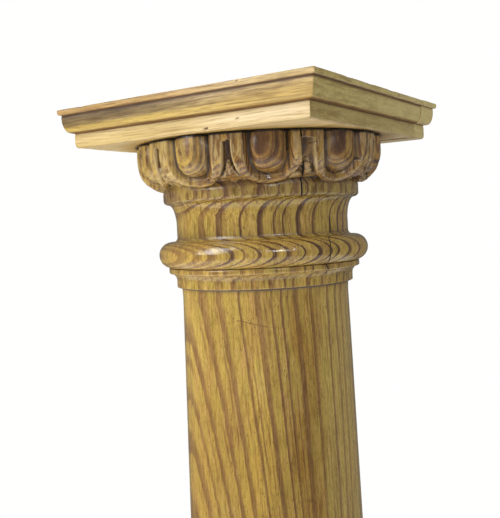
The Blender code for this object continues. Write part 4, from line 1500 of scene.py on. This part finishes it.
def area_light(name, azimuth, elevation, distance, size, power, colour, glossy):
    """A soft light, wide and high as given, aimed at the capital. Its azimuth is the angle round it."""
    turn = math.radians(azimuth)
    rise = math.radians(elevation)
    aim = Vector((0.0, 0.0, SHAFT_TOP + LIGHT_AIM_RISE))
    back = Vector((math.sin(turn) * math.cos(rise), -math.cos(turn) * math.cos(rise), math.sin(rise)))
    data = bpy.data.lights.new(name, "AREA")
    data.shape = "RECTANGLE"
    data.size, data.size_y = size
    data.energy = power
    data.color = colour
    light = bpy.data.objects.new(name, data)
    light.location = aim + back * distance
    light.rotation_euler = back.to_track_quat("Z", "Y").to_euler()
    light.visible_glossy = glossy
    bpy.context.scene.collection.objects.link(light)


def world():
    """Pale studio walls, darker in reflections, behind a backdrop that is white to the camera."""
    graph = Graph(bpy.data.worlds.new("studio"))
    bpy.context.scene.world = graph.owner
    backdrop = graph.tree.nodes["Background"]
    graph.fill((BACKDROP_COLOUR, BACKDROP_STRENGTH), backdrop.inputs)
    turn = math.radians(WALL_LEFT_AZIMUTH)
    leftward = (math.sin(turn), -math.cos(turn), WALL_TILT)
    toward = graph.vector_math("DOT_PRODUCT", graph.coordinate("Generated"), leftward)
    strength = toward.step(-1.0, 1.0, WALL_RIGHT, WALL_LEFT, "LINEAR")
    path = graph.node("LightPath")
    mirrored = Value(graph, path.outputs["Is Glossy Ray"]) * (WALL_MIRRORED - 1.0) + 1.0
    walls = graph.node("Background")
    graph.fill((WALL_COLOUR, strength * mirrored), walls.inputs)
    choose = graph.node("MixShader")
    sources = (path.outputs["Is Camera Ray"], walls.outputs[0], backdrop.outputs[0])
    graph.fill([Value(graph, socket) for socket in sources], choose.inputs)
    graph.put(Value(graph, choose.outputs[0]), graph.tree.nodes["World Output"].inputs["Surface"])


def camera():
    data = bpy.data.cameras.new("photograph_view")
    data.lens = CAMERA_LENS
    data.sensor_width = CAMERA_SENSOR
    data.clip_start = CAMERA_NEAR
    data.clip_end = CAMERA_FAR
    level = math.cos(CAMERA_PITCH)
    forward = Vector((math.sin(CAMERA_YAW) * level, math.cos(CAMERA_YAW) * level, math.sin(CAMERA_PITCH)))
    right = Vector((math.cos(CAMERA_YAW), -math.sin(CAMERA_YAW), 0.0))
    up = right.cross(forward)
    level_right = right * math.cos(CAMERA_ROLL) + up * math.sin(CAMERA_ROLL)
    level_up = up * math.cos(CAMERA_ROLL) - right * math.sin(CAMERA_ROLL)
    turn = Matrix.Rotation(CAMERA_AZIMUTH, 4, "Z")
    pose = turn @ Matrix((level_right, level_up, -forward)).transposed().to_4x4()
    stand = turn @ Vector((0.0, -CAMERA_DISTANCE, CAMERA_RISE))
    pose.translation = stand + Vector((0.0, 0.0, SHAFT_TOP))
    eye = bpy.data.objects.new("photograph_view", data)
    eye.matrix_world = pose
    bpy.context.scene.collection.objects.link(eye)
    bpy.context.scene.camera = eye


def place(piece, node, slot):
    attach(piece, "root")
    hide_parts(node)


place(build_column(column_wood()), "column", "column_pine")
place(build_board(sawn_wood("plate_pine", aged=True)), "top_plate_board", "plate_pine")
place(build_strip(sawn_wood("strip_pine")), "top_plate_back_strip", "strip_pine")
place(build_plinth(sawn_wood("plinth_pine")), "plinth", "plinth_pine")
floor()
for name, settings in LIGHTS.items():
    area_light(name, *settings)
world()
camera()
bpy.context.scene.view_settings.view_transform = "Standard"
